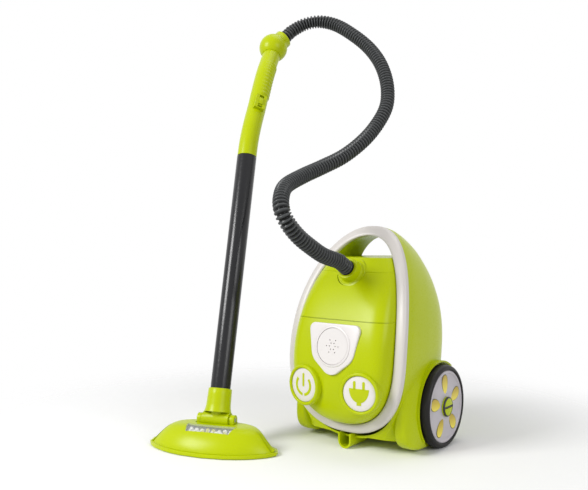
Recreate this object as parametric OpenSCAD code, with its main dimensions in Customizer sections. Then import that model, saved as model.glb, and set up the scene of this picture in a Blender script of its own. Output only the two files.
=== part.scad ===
/* [Canister shell] */
// Half width of the canister at its widest height
body_half_w = 86; // [70:1:100]
// Height of the widest line above the floor
body_mid_z = 120; // [105:1:135]
// Rise from the widest line to the top of the carrying arch
body_up = 161; // [145:1:180]
// Drop from the widest line to the lowest point of the band
body_down = 100; // [94:1:106]
// Depth of the rear shell behind the band
body_depth = 146; // [125:1:165]
// Y of the band where it stands furthest forward
band_y = -36; // [-46:1:-28]
// Height where the band stands furthest forward
band_low_z = 85; // [75:1:95]
// How far the band sweeps back over one arch rise
band_sweep = 46.7; // [38:0.1:55]
// Wall of the green mouldings
wall = 3; // [2.6:0.1:4]
// Roof of the hollow inside the rear shell, above the widest line
cavity_up = 115; // [105:1:117]
// Height of the hand hole floor
tunnel_z = 240; // [237:0.5:246]

/* [Band and front panel] */
// Width of the pale band seen from the front
band_w = 14; // [11:0.5:17]
// Thickness of the band in front of the rear shell
band_t = 8; // [6:0.5:10]
// Ledge on the band that carries the front cover
ledge_w = 5; // [3:0.5:7]
// Half thickness of that ledge
ledge_t = 1.2; // [0.8:0.1:2]
// Height where the ledge ends on either side
ledge_top_z = 158; // [120:1:162]
// Bulge of the front panel ahead of the band
bulge = 29; // [22:0.5:34]
// Height of the groove under the upper panel
groove_z = 164; // [161:0.5:168]
// Height of the groove under the top cap
cap_z = 222; // [218:0.5:226]
// Width of a groove between two panels
groove = 1; // [0.6:0.1:1.6]

/* [Wheels] */
// Tyre radius
tyre_r = 52; // [46:0.5:53]
// Tyre width
tyre_w = 16; // [12:0.5:17]
// Outer face of the wheels from the middle
wheel_x = 101; // [98:0.5:106]
// Axle behind the canister middle
axle_y = 45; // [38:0.5:52]
// Axle radius
axle_r = 3; // [2.5:0.1:4]
// Radius of the printed hub disc
hub_r = 41; // [36:0.5:44]
// Radius of the slotted cap on the wheel
hub_cap_r = 9; // [7:0.5:11]
// Radius of the axle bosses on the shell
boss_r = 10; // [8:0.5:13]
// Gap between tyre and fender
arch_gap = 2.5; // [2:0.1:5]
// Outer face of the fenders from the middle
fender_x = 92; // [90:0.5:94]
// How far the fender bulges forward of the axle
fender_front = 77.5; // [70:0.5:78]
// How far the fender runs back from the axle
fender_back = 54; // [48:0.5:60]
// Half width of one fender bulge
fender_half_w = 17; // [14:0.5:20]
// Height of the fender underside
fender_low = 3; // [2.5:0.5:6]

/* [Buttons and sound] */
// Radius of the two round buttons
button_r = 21.2; // [18:0.1:22]
// Distance of each round button from the middle
button_x = 41; // [38:0.5:44]
// Height of the two round buttons
button_z = 80; // [76:0.5:84]
// Width of the raised ring round a button
ring_w = 4.4; // [3:0.1:5.5]
// How far the raised ring stands proud
ring_proud = 4; // [2:0.1:6]
// Travel of every button
press = 2.5; // [1.5:0.1:3]
// Height of the sound disc
sound_z = 132; // [128:0.5:136]
// Radius of the sound disc
sound_r = 22.6; // [19:0.1:24]
// Radius of the pattern of sound holes
sound_ring_r = 8.5; // [7:0.5:12]
// Radius of one sound hole
sound_hole_r = 0.8; // [0.6:0.1:1.2]
// Half width of the bezel at its top edge
bezel_half_w = 37; // [34:0.5:40]
// Height of the bezel tip below the sound disc
bezel_tip = 35; // [32:0.5:37]
// Height of the bezel top edge above the sound disc
bezel_top = 28; // [26.5:0.1:28.5]
// Radius of the rounded sides of the bezel
bezel_side_r = 23; // [20:0.5:24]
// Distance of those sides from the middle
bezel_side_x = 9; // [6:0.5:10]
// Rounding of the bezel corners
bezel_round = 8; // [6:0.5:10]
// Thickness of the bezel plate
bezel_t = 6; // [5:0.1:8]

/* [Inside the canister] */
// Y of the circuit board front face
board_y = -14; // [-18:0.5:-10]
// Board thickness
board_t = 1.6; // [1.2:0.1:2.4]
// Half width of the board
board_half_w = 46; // [42:0.5:50]
// Lower edge of the board
board_z0 = 66; // [60:0.5:70]
// Upper edge of the board
board_z1 = 156; // [150:0.5:160]
// Radius of a screw post
post_r = 3.6; // [3:0.1:5]
// Screw thread radius
screw_r = 1.4; // [1.1:0.1:1.7]
// Screw head radius
screw_head_r = 2.8; // [2.3:0.1:3.4]
// Screw head height
screw_head_t = 1.8; // [1.4:0.1:2.4]
// Length of a screw below its head
screw_l = 9; // [7:0.5:12]
// Height of a push switch on the board
switch_h = 7; // [5:0.5:9]
// Speaker frame radius
speaker_r = 18; // [15:0.5:20]
// Speaker depth
speaker_t = 14; // [11:0.5:17]
// Battery radius
battery_r = 7.1; // [6.8:0.1:7.3]
// Battery length
battery_l = 50; // [48:0.5:51]
// Middle of the battery bay behind the canister middle
bay_y = 36; // [32:0.5:42]
// Height of the flat underside of the battery bay
bay_z = 6.5; // [5:0.1:8]
// Thickness of the battery cover
bay_cover_t = 2.4; // [2:0.1:3]

/* [Front skid] */
// Outer radius of the half tube under the front
skid_r = 9.5; // [8:0.1:11]
// Wall of the half tube
skid_wall = 2.4; // [2:0.1:3]
// Y of the front end of the half tube
skid_y0 = -38; // [-42:0.5:-34]
// Y of the rear end of the half tube
skid_y1 = 4; // [0:0.5:10]

/* [Wand and handle] */
// Neck pivot across from the canister middle
head_dx = -132.9; // [-150:0.1:-125]
// Neck pivot in front of the canister middle
head_dy = -130.1; // [-145:0.1:-120]
// Turn of the floor head about the upright
head_yaw = 20; // [15:1:24]
// Lean of the tube behind the head
lean = 16.7; // [12:0.1:20]
// Height of the neck pivot
pivot_z = 35; // [34:0.5:38]
// Radius of the neck barrel
barrel_r = 9; // [8:0.1:9.4]
// Length of the neck barrel
barrel_l = 36; // [30:0.5:42]
// Radius of the pivot pin
pin_r = 2.5; // [2:0.1:3]
// Radius of the neck socket
neck_r = 14.6; // [14:0.1:16]
// Length of the neck from its pivot
neck_l = 38; // [36:0.5:48]
// Radius of the wand tube at its foot
tube_r = 12.9; // [12:0.1:13.4]
// Extra radius of the tube at its top
tube_draft = 0.7; // [0:0.1:0.9]
// Wall of the wand tube
tube_wall = 2; // [1.6:0.1:2.6]
// Depth of the tube in the neck socket
socket_l = 20; // [16:0.5:22]
// Distance from pivot to the top of the tube shoulder
tube_top = 359; // [300:1:400]
// Length of the spigot inside the handle
spigot_l = 22; // [16:0.5:28]
// Radius of that spigot
spigot_r = 10.4; // [9:0.1:10.6]
// Radius of the handle
grip_r = 13.4; // [12.6:0.1:14.4]
// Height of one finger ridge
ridge_h = 1.4; // [0.8:0.1:2]
// Radius of the round elbow at the hose end
elbow_r = 21.5; // [20:0.1:23]
// Radius of the elbow mouth
mouth_r = 14; // [13:0.1:15.5]
// Reach of the elbow mouth from the elbow middle
mouth_l = 24; // [23:0.5:30]
// Width of the suction slide
slide_w = 9; // [7:0.5:9.5]
// Length of the suction slide
slide_l = 15; // [12:0.5:18]
// Travel of the suction slide
slide_run = 6; // [3:0.5:8]
// Thickness of the suction slide plate
slide_t = 1.6; // [1.2:0.1:2]
// Half width of the rail pad on the handle
pad_half_w = 7.5; // [6:0.5:9]
// Floor of the rail pad outside the handle
pad_proud = 1.6; // [1:0.1:2]
// Height of the slide knob above its plate
knob_h = 2.6; // [2:0.1:3.4]

/* [Floor head] */
// Half length of the floor head
head_half_l = 86; // [78:0.5:96]
// Front of the head ahead of the pivot
head_front = 52; // [46:0.5:58]
// Back of the head behind the pivot
head_back = 18; // [16:0.5:22]
// How far the head corners stand behind the bowed front
head_bow = 20; // [14:0.5:26]
// Height of the head cover
head_h = 31; // [29:0.5:32]
// Thickness of the head base flange
base_t = 5; // [4:0.1:7]
// Floor gap under the base
base_gap = 0.1; // [0.05:0.05:0.5]
// Flange of the base beyond the cover
flange_w = 4; // [3:0.1:6]
// Wall of the head cover
cover_wall = 2.4; // [2:0.1:3]
// Half length of the clear window
window_half_l = 33; // [28:0.5:38]
// Front edge of the window
window_y0 = -34; // [-38:0.5:-32]
// Rear edge of the window
window_y1 = -19; // [-21:0.5:-17]
// Bead radius
bead_r = 3; // [2.5:0.1:3.2]
// Thickness of one pivot lug
lug_t = 7; // [5:0.1:9]
// Thickness of the foot that joins the two lugs
bracket_t = 3; // [2:0.1:3.2]
// Radius of one pivot lug
lug_r = 6.5; // [6:0.1:8]
// Gap round the neck in the head cover
well_gap = 1.7; // [1.4:0.1:3]
// Length of the suction slot in the base
slot_l = 120; // [90:1:140]
// Width of the suction slot in the base
slot_w = 14; // [10:0.5:16]

/* [Hose] */
// Outside radius of the hose over its ribs
hose_r = 10; // [9:0.1:10.4]
// Radius between two ribs
hose_root_r = 8.7; // [7.8:0.1:9.2]
// Bore radius of the hose
hose_bore_r = 7.4; // [6.5:0.1:7.8]
// Number of ribs
hose_ribs = 185; // [120:1:200]
// Reach of a hose plug inside its socket
plug_l = 12; // [9:0.5:15]
// Outer radius of the collar on the top cap
collar_r = 14.5; // [13.5:0.1:16]
// Reach of the collar from the panel
collar_l = 13; // [10:0.5:16]
// Radius of the round tongue under the collar
tongue_r = 20; // [18:0.5:22]

/* [Small edges and lips] */
// Softening of small moulded edges
edge_r = 1; // [0.6:0.1:1.4]
// Rounding of the tyre shoulder
tyre_round = 4; // [3:0.5:5]
// How far the hub disc lies behind the tyre face
hub_step = 2; // [1:0.1:2.5]
// Depth of the cap recess in the hub
cap_recess = 3; // [2:0.1:3.5]
// Height of the cap
cap_h = 7; // [6.5:0.1:8]
// Width of the slot in the cap
cap_slot_w = 2; // [1.5:0.1:3]
// Depth of the slot in the cap
cap_slot_t = 1; // [0.8:0.1:1.5]
// How far a round button stands off the panel
button_proud = 2; // [1.5:0.1:3]
// How far the bezel stands off the panel
bezel_proud = 2; // [1.5:0.1:3]
// How far the sound disc stands off the panel
sound_proud = 2.6; // [2.2:0.1:3.4]
// Width of the flange that keeps a button in
keep_w = 1.2; // [0.8:0.1:1.6]
// Thickness of that flange
keep_t = 1.5; // [1.2:0.1:2]
// Length of the flare under the neck socket
neck_flare = 3; // [2:0.1:5]
// Width of a grip line in the battery cover
line_w = 1; // [0.8:0.1:1.4]
// Depth of a grip line in the battery cover
line_t = 0.6; // [0.4:0.1:0.8]
// Wall of the bead tray
tray_wall = 1; // [0.8:0.1:1.2]
// Gap between two beads
bead_gap = 1; // [0.6:0.1:1.2]
// Lip of the rail over the suction slide
lip_w = 1.2; // [0.8:0.1:1.6]
// Thickness of that lip
lip_t = 1; // [0.8:0.1:1.4]

/* [Fits] */
// Clearance between fixed neighbours
fit = 0.15; // [0.1:0.05:0.3]
// Clearance round a part that slides or presses
slip = 0.3; // [0.25:0.05:0.5]
// Clearance of a running fit
run_fit = 0.05; // [0.03:0.01:0.08]
// Overrun of cutting shapes
over = 1; // [0.5:0.5:2]

/* [Hidden] */
can_x = 62.14;
can_y = 35.85;
n_ring = 36;
n_up = 2.2;
n_low = 2.35;
n_roof = 2.4;
roof_step = 2.5;
depth_shares = [0, 0.10, 0.25, 0.42, 0.62, 0.78, 0.90, 0.97, 1];
width_shares = [1, 1.01, 1.01, 1.0, 0.965, 0.88, 0.72, 0.46, 0];
top_shares = [1, 0.985, 0.94, 0.87, 0.75, 0.61, 0.45, 0.26, 0];
low_shares = [1, 1.07, 1.10, 1.12, 1.10, 1.03, 0.87, 0.55, 0];
band_in_shares = [0, 0, 0.12, 0.36, 0.64, 0.88, 1];
band_out_shares = [0, 0.55, 0.85, 1, 1, 0.85, 0.5];
up_keep_share = 0.93;
low_keep_share = 0.87;
bulge_pow = 8;
bulge_root = 0.45;
bulge_fade = 0.75;
col_shares = [-1, -0.985, -0.95, -0.88, -0.76, -0.56, -0.3, 0, 0.3, 0.56, 0.76, 0.88, 0.95, 0.985, 1];
low_row_shares = [-0.999, -0.985, -0.94, -0.86, -0.72, -0.52, -0.26, 0];
panel_row_shares = [0, 0.25, 0.5, 0.75, 1];
fender_y_shares = [-0.985, -0.90, -0.72, -0.45, -0.12, 0.25, 0.58, 0.82, 0.96];
green = [0.62, 0.73, 0.05];
pale = [0.86, 0.85, 0.84];
black = [0.12, 0.12, 0.12];
steel = [0.7, 0.71, 0.73];
yellow = [0.95, 0.83, 0.1];
clear = [0.85, 0.92, 0.95];

function yb(z) = band_y + band_sweep * pow((z - band_low_z) / body_up, 2);
function spow(v, e) = sign(v) * pow(abs(v), e);
function npow(a) = sin(a) > 0 ? n_up : n_low;
function out_x(a, w) = w * spow(cos(a), 2 / npow(a));
function out_z(a, up, low) = body_mid_z + spow(sin(a), 2 / npow(a)) * (sin(a) > 0 ? up : low);
function out_pt(a, w, up, low, u) =
  let (z = out_z(a, up, low)) [out_x(a, w), yb(z) + u, z];
function roof_pt(a, w, up, low, u) =
  let (e = 2 / (sin(a) > 0 ? n_roof : n_low))
  let (z = body_mid_z + spow(sin(a), e) * (sin(a) > 0 ? up : low))
  [w * spow(cos(a), e), yb(z) + u, z];
function angle_of(i) = 360 * i / n_ring;
function shell_ring(s) = [for (i = [0:n_ring - 1])
  out_pt(angle_of(i), body_half_w * width_shares[s], body_up * top_shares[s],
    body_down * low_shares[s], body_depth * depth_shares[s])];
function hollow_ring(s) = [for (i = [0:n_ring - 1])
  roof_pt(angle_of(i), body_half_w * width_shares[s] - wall,
    min(cavity_up, body_up * top_shares[s] - wall * roof_step), body_down * low_shares[s] - wall,
    body_depth * depth_shares[s] * (body_depth - wall) / body_depth)];
function flat(v) = [for (r = v) for (p = r) p];
function strip(k, n) = [for (i = [0:n - 1]) for (h = [0, 1])
  h == 0 ? [k * n + i, (k + 1) * n + i, k * n + (i + 1) % n]
    : [k * n + (i + 1) % n, (k + 1) * n + i, (k + 1) * n + (i + 1) % n]];

// A closed skin over rings of points, with a middle point at each end
module skin(rings, p0, p1, flip = false) {
  n = len(rings[0]);
  m = len(rings);
  body = flat([for (k = [0:m - 2]) strip(k, n)]);
  first = [for (i = [0:n - 1]) [m * n, i, (i + 1) % n]];
  last = [for (i = [0:n - 1]) [m * n + 1, (m - 1) * n + (i + 1) % n, (m - 1) * n + i]];
  all = concat(body, first, last);
  polyhedron(concat(flat(rings), [p0, p1]), flip ? [for (f = all) [f[2], f[1], f[0]]] : all);
}

// A closed skin over rings that meet again, as on a hoop
module hoop(rings) {
  n = len(rings[0]);
  m = len(rings);
  all = flat([for (k = [0:m - 1]) strip(k, n)]);
  polyhedron(flat(rings), [for (f = all) [for (v = f) v % (m * n)]]);
}

// A sheet between an outer and an inner grid of points
module sheet(a, b) {
  r = len(a);
  c = len(a[0]);
  o = r * c;
  top = [for (j = [0:r - 2]) for (i = [0:c - 2]) for (h = [0, 1])
    h == 0 ? [j * c + i, (j + 1) * c + i, j * c + i + 1]
      : [j * c + i + 1, (j + 1) * c + i, (j + 1) * c + i + 1]];
  low = [for (f = top) [o + f[2], o + f[1], o + f[0]]];
  edge = concat([for (i = [0:c - 1]) i], [for (j = [1:r - 1]) j * c + c - 1],
    [for (i = [c - 2:-1:0]) (r - 1) * c + i], [for (j = [r - 2:-1:1]) j * c]);
  q = len(edge);
  side = [for (i = [0:q - 1]) for (h = [0, 1])
    let (e = edge[i], f = edge[(i + 1) % q])
    h == 0 ? [e, f, o + e] : [f, o + f, o + e]];
  polyhedron(concat(flat(a), flat(b)), concat(top, low, side));
}

cover_in = band_w + fit * 2;
function pan_w(in) = body_half_w - in;
function pan_up(in) = body_up - in * up_keep_share;
function pan_low(in) = body_down - in * low_keep_share;
function pan_half(v, in) = pan_w(in) * pow(1 - pow(abs(v), v > 0 ? n_up : n_low), 1 / (v > 0 ? n_up : n_low));
function pan_z(v, in) = body_mid_z + v * (v > 0 ? pan_up(in) : pan_low(in));
function pan_fall(s, v) =
  let (n = v > 0 ? n_up : n_low)
  let (q = pow(abs(s), n) * (1 - pow(abs(v), n)) + pow(abs(v), n))
  pow(max(0, 1 - pow(q, bulge_pow / n)), bulge_root) * (v > 0 ? 1 - bulge_fade * v * v : 1);
function pan_pt(s, v, in, b) =
  let (z = pan_z(v, in)) [s * pan_half(v, in), yb(z) - ledge_t - fit - b * pan_fall(s, v), z];
function pan_row(v, in, b) = [for (s = col_shares) pan_pt(s, v, in, b)];
function v_at(z) = z > body_mid_z ? (z - body_mid_z) / pan_up(cover_in) : (z - body_mid_z) / pan_low(cover_in);
function face_y(z) = yb(z) - ledge_t - fit - bulge * pan_fall(0, v_at(z));
panel_in = cover_in + wall;
panel_bulge = bulge - wall;
v_groove = v_at(groove_z - groove / 2);
v_panel = v_at(groove_z + groove / 2);
v_panel_top = v_at(cap_z - groove / 2);
v_cap = v_at(cap_z + groove / 2);
v_shelf = v_at(tunnel_z);
collar_tilt = atan(2 * band_sweep * (cap_z - band_low_z) / (body_up * body_up));
sound_tilt = atan(2 * band_sweep * (sound_z - band_low_z) / (body_up * body_up));
button_turn = 8.7;
axle_z = tyre_r;
well_r = tyre_r + arch_gap;
wheel_in = wheel_x - tyre_w;
well_x = wheel_in - slip * 3;

module at_can() translate([can_x, can_y, 0]) children();
module at_wand() translate([can_x + head_dx, can_y + head_dy, 0]) rotate([0, 0, head_yaw]) children();
module along_x() rotate([0, 90, 0]) children();
module at_sound() translate([0, face_y(sound_z), sound_z]) rotate([90 - sound_tilt, 0, 0]) children();
module at_button(s) translate([s * button_x, face_y(button_z), button_z])
  rotate([90, 0, s * button_turn]) children();
module at_collar() translate([0, face_y(cap_z), cap_z]) rotate([90 - collar_tilt, 0, 0]) children();

// Hand hole seen from the front: flat floor under the round arch
module hand_hole_outline() {
  v0 = (tunnel_z - body_mid_z) / pan_up(band_w);
  a = [for (i = [0:10]) 1 - (1 - v0) * i / 10];
  right = [for (v = a) [pan_half(v, band_w), pan_z(v, band_w)]];
  polygon(concat(right, [for (i = [10:-1:1]) [-pan_half(a[i], band_w), pan_z(a[i], band_w)]]));
}

module fender_bulge() {
  half_y = (fender_front + fender_back) / 2;
  mid_y = axle_y + (fender_back - fender_front) / 2;
  half_h = (axle_z * 2 + arch_gap - fender_low) / 2;
  mid_h = fender_low + half_h;
  n = 20;
  function ring_at(t) = let (k = pow(1 - pow(abs(t), 2.3), 1 / 2.3)) [for (i = [0:n - 1])
    let (a = 360 * i / n)
    [fender_x - fender_half_w + fender_half_w * k * spow(cos(a), 0.75),
      mid_y + half_y * t, mid_h + half_h * k * spow(sin(a), 0.85)]];
  rings = [for (t = fender_y_shares) ring_at(t)];
  skin(rings, [fender_x - fender_half_w, mid_y - half_y, mid_h],
    [fender_x - fender_half_w, mid_y + half_y, mid_h], true);
}

module rear_shell_body() {
  m = len(depth_shares) - 1;
  outer = [for (s = [m - 1:-1:0]) shell_ring(s)];
  inner = [for (s = [0:m - 1]) hollow_ring(s)];
  p0 = [0, yb(body_mid_z) + body_depth, body_mid_z];
  p1 = [0, yb(body_mid_z) + body_depth - wall, body_mid_z];
  skin(concat(outer, inner), p0, p1);
}

module rear_shell() color(green) at_can() difference() {
  union() {
    rear_shell_body();
    for (s = [0, 1]) mirror([s, 0, 0]) {
      fender_bulge();
      translate([body_half_w / 2, axle_y, axle_z]) along_x()
        cylinder(r = boss_r, h = well_x - body_half_w / 2, $fn = 48);
    }
    skid_body();
    translate([-bay_half_w() - wall, bay_y - bay_half_l() - wall, bay_z])
      cube([(bay_half_w() + wall) * 2, (bay_half_l() + wall) * 2, battery_r * 2 + wall * 2]);
  }
  translate([0, body_depth * 2, 0]) rotate([90, 0, 0])
    linear_extrude(height = body_depth * 4) hand_hole_outline();
  for (s = [0, 1]) mirror([s, 0, 0]) translate([well_x, axle_y, axle_z]) along_x()
    cylinder(r = well_r, h = wheel_x, $fn = 72);
  translate([-wheel_x, axle_y, axle_z]) along_x() cylinder(r = axle_r, h = wheel_x * 2, $fn = 32);
  translate([-bay_half_w(), bay_y - bay_half_l(), bay_z - over])
    cube([bay_half_w() * 2, bay_half_l() * 2, battery_r * 2 + wall + bay_cover_t + over]);
}

function bay_half_w() = battery_l / 2 + wall;
function bay_half_l() = battery_r * 3 + wall;

module skid_body() translate([0, skid_y1, skid_r]) rotate([90, 0, 0])
  linear_extrude(height = skid_y1 - skid_y0) difference() {
    union() {
      circle(r = skid_r, $fn = 40);
      translate([-skid_r, 0]) square([skid_r * 2, skid_r]);
    }
    circle(r = skid_r - skid_wall, $fn = 40);
    translate([skid_wall - skid_r, 0]) square([(skid_r - skid_wall) * 2, skid_r + over]);
  }

function keep(a) = out_z(a, body_up, body_down) < ledge_top_z ? 1 : 0;
function band_pt(a, in, u) = out_pt(a, body_half_w - in, pan_up(in), pan_low(in), u);
function front_line(k) = [for (i = [0:n_ring * 2 - 1])
  band_pt(angle_of(i / 2), band_w * band_in_shares[k], -fit - (band_t - fit) * band_out_shares[k])];
function back_line(in, u, k_in, k_u) = [for (i = [0:n_ring * 2 - 1])
  let (a = angle_of(i / 2), k = keep(a)) band_pt(a, in + (k_in - in) * k, u + (k_u - u) * k)];

ledge_in = wall + slip * 5;
module handle_band() color(pale) at_can()
  hoop(concat([for (k = [0:len(band_in_shares) - 1]) front_line(k)],
    [back_line(band_w, -ledge_t, band_w, -ledge_t),
      back_line(band_w, -ledge_t * 0.6, band_w + ledge_w, -ledge_t),
      back_line(band_w, -fit, band_w + ledge_w, ledge_t),
      back_line(wall + fit, -fit, ledge_in, ledge_t),
      back_line(wall + fit / 2, -fit, ledge_in, -fit)]));

module front_cover() color(green) at_can() difference() {
  union() {
    rows = concat(low_row_shares, [v_groove / 2, v_groove]);
    sheet([for (v = rows) pan_row(v, cover_in, bulge)], [for (v = rows) pan_row(v, panel_in, panel_bulge)]);
    for (s = [-1, 1]) at_button(s) translate([0, 0, -ring_proud - wall])
      cylinder(r = button_r + ring_w, h = ring_proud * 2 + wall, $fn = 64);
    for (p = post_spots()) translate([p[0], board_y, p[1]]) rotate([90, 0, 0])
      cylinder(r = post_r, h = board_y - face_y(p[1]) - wall / 2, $fn = 24);
  }
  for (s = [-1, 1]) at_button(s) translate([0, 0, -bulge])
    cylinder(r = button_r + slip, h = bulge * 2, $fn = 64);
  for (s = [-1, 1]) at_button(s) translate([0, 0, -bulge])
    cylinder(r = button_r + keep_w + slip, h = bulge - ring_proud - wall, $fn = 64);
  at_sound() translate([0, 0, -bulge / 2]) linear_extrude(height = bulge) bezel_outline(0);
  for (p = post_spots()) translate([p[0], board_y + over, p[1]]) rotate([90, 0, 0])
    cylinder(r = screw_r, h = screw_l + over, $fn = 16);
}

function post_spots() = [[-bezel_half_w, board_z1 - post_r], [bezel_half_w, board_z1 - post_r],
  [0, board_z0 + post_r]];

module bezel_outline(d) offset(r = -d) hull() {
  for (s = [-1, 1]) translate([s * (bezel_half_w - bezel_round), bezel_top - bezel_round])
    circle(r = bezel_round, $fn = 32);
  for (s = [-1, 1]) translate([s * bezel_side_x, -edge_r * 3]) circle(r = bezel_side_r, $fn = 48);
  translate([0, bezel_round * 2 - bezel_tip]) circle(r = bezel_round * 2, $fn = 48);
}

module upper_panel() color(green) at_can() difference() {
  rows = [for (t = panel_row_shares) v_panel + (v_panel_top - v_panel) * t];
  sheet([for (v = rows) pan_row(v, cover_in, bulge)], [for (v = rows) pan_row(v, panel_in, panel_bulge)]);
  at_collar() translate([0, 0, -bulge]) cylinder(r = tongue_r + groove / 2, h = bulge * 2, $fn = 64);
}

module top_cap() color(green) at_can() difference() {
  rows = [v_cap, (v_cap + v_shelf) / 2, v_shelf];
  backs = [0.92, 0.6, 0.25, 0];
  union() {
    sheet(concat([for (v = rows) pan_row(v, cover_in, bulge)],
      [for (b = backs) pan_row(v_shelf, cover_in, bulge * b)]),
      concat([for (v = rows) pan_row(v - (v == v_shelf ? wall / body_up : 0), panel_in, panel_bulge)],
        [for (b = backs) pan_row(v_shelf - wall / body_up, panel_in, panel_bulge * b)]));
    at_collar() translate([0, 0, -wall]) cylinder(r = tongue_r, h = wall + edge_r / 2, $fn = 64);
    at_collar() cylinder(r = collar_r, h = collar_l, $fn = 48);
  }
  at_collar() translate([0, 0, -bulge]) cylinder(r = hose_r + fit, h = bulge * 2, $fn = 48);
}

module speaker_bezel() color(pale) at_can() at_sound() difference() {
  union() {
    translate([0, 0, bezel_proud - bezel_t]) linear_extrude(height = bezel_t) bezel_outline(fit);
    translate([0, 0, bezel_proud - edge_r - bezel_t - press]) cylinder(r = sound_r + wall, h = press + edge_r * 2, $fn = 64);
  }
  translate([0, 0, -bulge]) cylinder(r = sound_r + slip, h = bulge * 2, $fn = 64);
}

// A round button: face, skirt flange that keeps it in, and a stem towards its switch
module push_button(r, face, back, stem) rotate_extrude($fn = 64) polygon([[0, face], [r - edge_r / 2, face],
  [r, face - edge_r / 2], [r, back], [r + keep_w, back], [r + keep_w, back - keep_t], [post_r, back - keep_t],
  [post_r, -stem], [0, -stem]]);

module sound_button() color(pale) at_can() at_sound() difference() {
  push_button(sound_r, sound_proud, bezel_proud - edge_r - bezel_t - press - slip, bezel_t + press * 2 + slip);
  for (k = [0:5]) rotate([0, 0, k * 60]) for (q = [1, 2]) translate([sound_ring_r * q / 2, 0, -bulge])
    cylinder(r = sound_hole_r, h = bulge * 2, $fn = 16);
}

stem_l = (board_y - face_y(button_z)) / cos(button_turn) - switch_h - press - slip * 2;
button_back = -ring_proud - wall - slip;

module power_button() color(pale) at_can() at_button(-1) push_button(button_r, button_proud, button_back, stem_l);
module cord_button() color(pale) at_can() at_button(1) push_button(button_r, button_proud, button_back, stem_l);

module circuit_board() color([0.1, 0.4, 0.2]) at_can() difference() {
  translate([-board_half_w, board_y + fit, board_z0]) cube([board_half_w * 2, board_t, board_z1 - board_z0]);
  for (p = post_spots()) translate([p[0], board_y - over, p[1]]) rotate([-90, 0, 0])
    cylinder(r = screw_r + slip, h = board_t + over * 3, $fn = 24);
}

module switches() color(black) at_can() for (s = [-1, 1])
  translate([s * (button_x - sin(button_turn) * (stem_l + press + switch_h / 2)) - post_r, board_y - switch_h,
    button_z - post_r])
    cube([post_r * 2, switch_h, post_r * 2]);

module speaker() color(black) at_can() translate([0, board_y, sound_z]) rotate([90, 0, 0])
  rotate_extrude($fn = 48) polygon([[0, 0], [speaker_r * 0.55, 0], [speaker_r * 0.55, speaker_t * 0.5],
    [speaker_r * 0.9, speaker_t * 0.8], [speaker_r, speaker_t * 0.8], [speaker_r, speaker_t],
    [speaker_r * 0.85, speaker_t], [speaker_r * 0.3, speaker_t * 0.7], [0, speaker_t * 0.75]]);

module screw() {
  translate([0, 0, -screw_l]) cylinder(r = screw_r, h = screw_l + screw_head_t / 2, $fn = 24);
  cylinder(r = screw_head_r, h = screw_head_t, $fn = 24);
}

module board_screws() color(steel) at_can() for (p = post_spots())
  translate([p[0], board_y + board_t + fit * 2, p[1]]) rotate([-90, 0, 0]) screw();

module batteries() color(yellow) at_can() for (k = [-1, 0, 1])
  translate([-battery_l / 2, bay_y + k * (battery_r * 2 + fit), bay_z + bay_cover_t + fit + battery_r]) along_x()
    cylinder(r = battery_r, h = battery_l, $fn = 32);

module battery_cover() color(green) at_can() difference() {
  translate([fit - bay_half_w(), bay_y - bay_half_l() + fit, bay_z])
    cube([(bay_half_w() - fit) * 2, (bay_half_l() - fit) * 2, bay_cover_t]);
  for (k = [-2:2]) translate([-bay_half_w() / 2, bay_y + k * battery_r - line_w / 2, bay_z - over])
    cube([bay_half_w(), line_w, over + line_t]);
}

module axle() color(steel) at_can() translate([-wheel_x + tyre_w / 4, axle_y, axle_z]) along_x()
  cylinder(r = axle_r, h = (wheel_x - tyre_w / 4) * 2, $fn = 32);

// Wheel pieces are drawn on the right; x runs outwards from the inner face
module at_wheel(s) at_can() translate([s * wheel_in, axle_y, axle_z]) rotate([0, s * 90, 0]) children();
tyre_in = hub_r + ring_w;
cap_floor = tyre_w - hub_step - cap_recess;

module tyre() color(black) rotate_extrude($fn = 96) polygon([[tyre_in, 0], [tyre_r - tyre_round, 0],
  [tyre_r - edge_r, tyre_round / 2], [tyre_r, tyre_round], [tyre_r, tyre_w - tyre_round - edge_r],
  [tyre_r - edge_r, tyre_w - tyre_round / 2], [tyre_r - tyre_round, tyre_w - edge_r / 2],
  [tyre_in + edge_r, tyre_w - edge_r], [tyre_in, tyre_w - hub_step]]);

module hub() color(pale) rotate_extrude($fn = 96) polygon([[axle_r + run_fit, 0], [boss_r, 0],
  [boss_r, tyre_w / 2], [tyre_in - wall, tyre_w / 2], [tyre_in - wall, 0], [tyre_in - fit, 0],
  [tyre_in - fit, tyre_w - hub_step], [hub_r + edge_r, tyre_w - edge_r], [hub_r, tyre_w - hub_step - edge_r],
  [hub_cap_r + slip, tyre_w - hub_step], [hub_cap_r + slip, cap_floor], [axle_r + run_fit, cap_floor]]);

module hub_cap() color(green) difference() {
  translate([0, 0, cap_floor + fit]) rotate_extrude($fn = 48) polygon([[axle_r + run_fit, 0], [hub_cap_r, 0],
    [hub_cap_r, cap_h - cap_slot_t * 2], [hub_cap_r - edge_r, cap_h - edge_r / 2], [0, cap_h], [0, cap_h / 2 + edge_r / 2],
    [axle_r + run_fit, cap_h / 2 + edge_r / 2]]);
  translate([-hub_cap_r, -cap_slot_w / 2, cap_floor + fit + cap_h - cap_slot_t])
    cube([hub_cap_r * 2, cap_slot_w, cap_slot_t + over]);
}

module left_tyre() at_wheel(-1) tyre();
module right_tyre() at_wheel(1) tyre();
module left_hub() at_wheel(-1) hub();
module right_hub() at_wheel(1) hub();
module left_hub_cap() at_wheel(-1) hub_cap();
module right_hub_cap() at_wheel(1) hub_cap();

// Wand pieces are drawn along z from the neck pivot and then leaned back
module at_neck() at_wand() translate([0, 0, pivot_z]) rotate([-lean, 0, 0]) children();
tube_foot = neck_l - socket_l;

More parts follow.
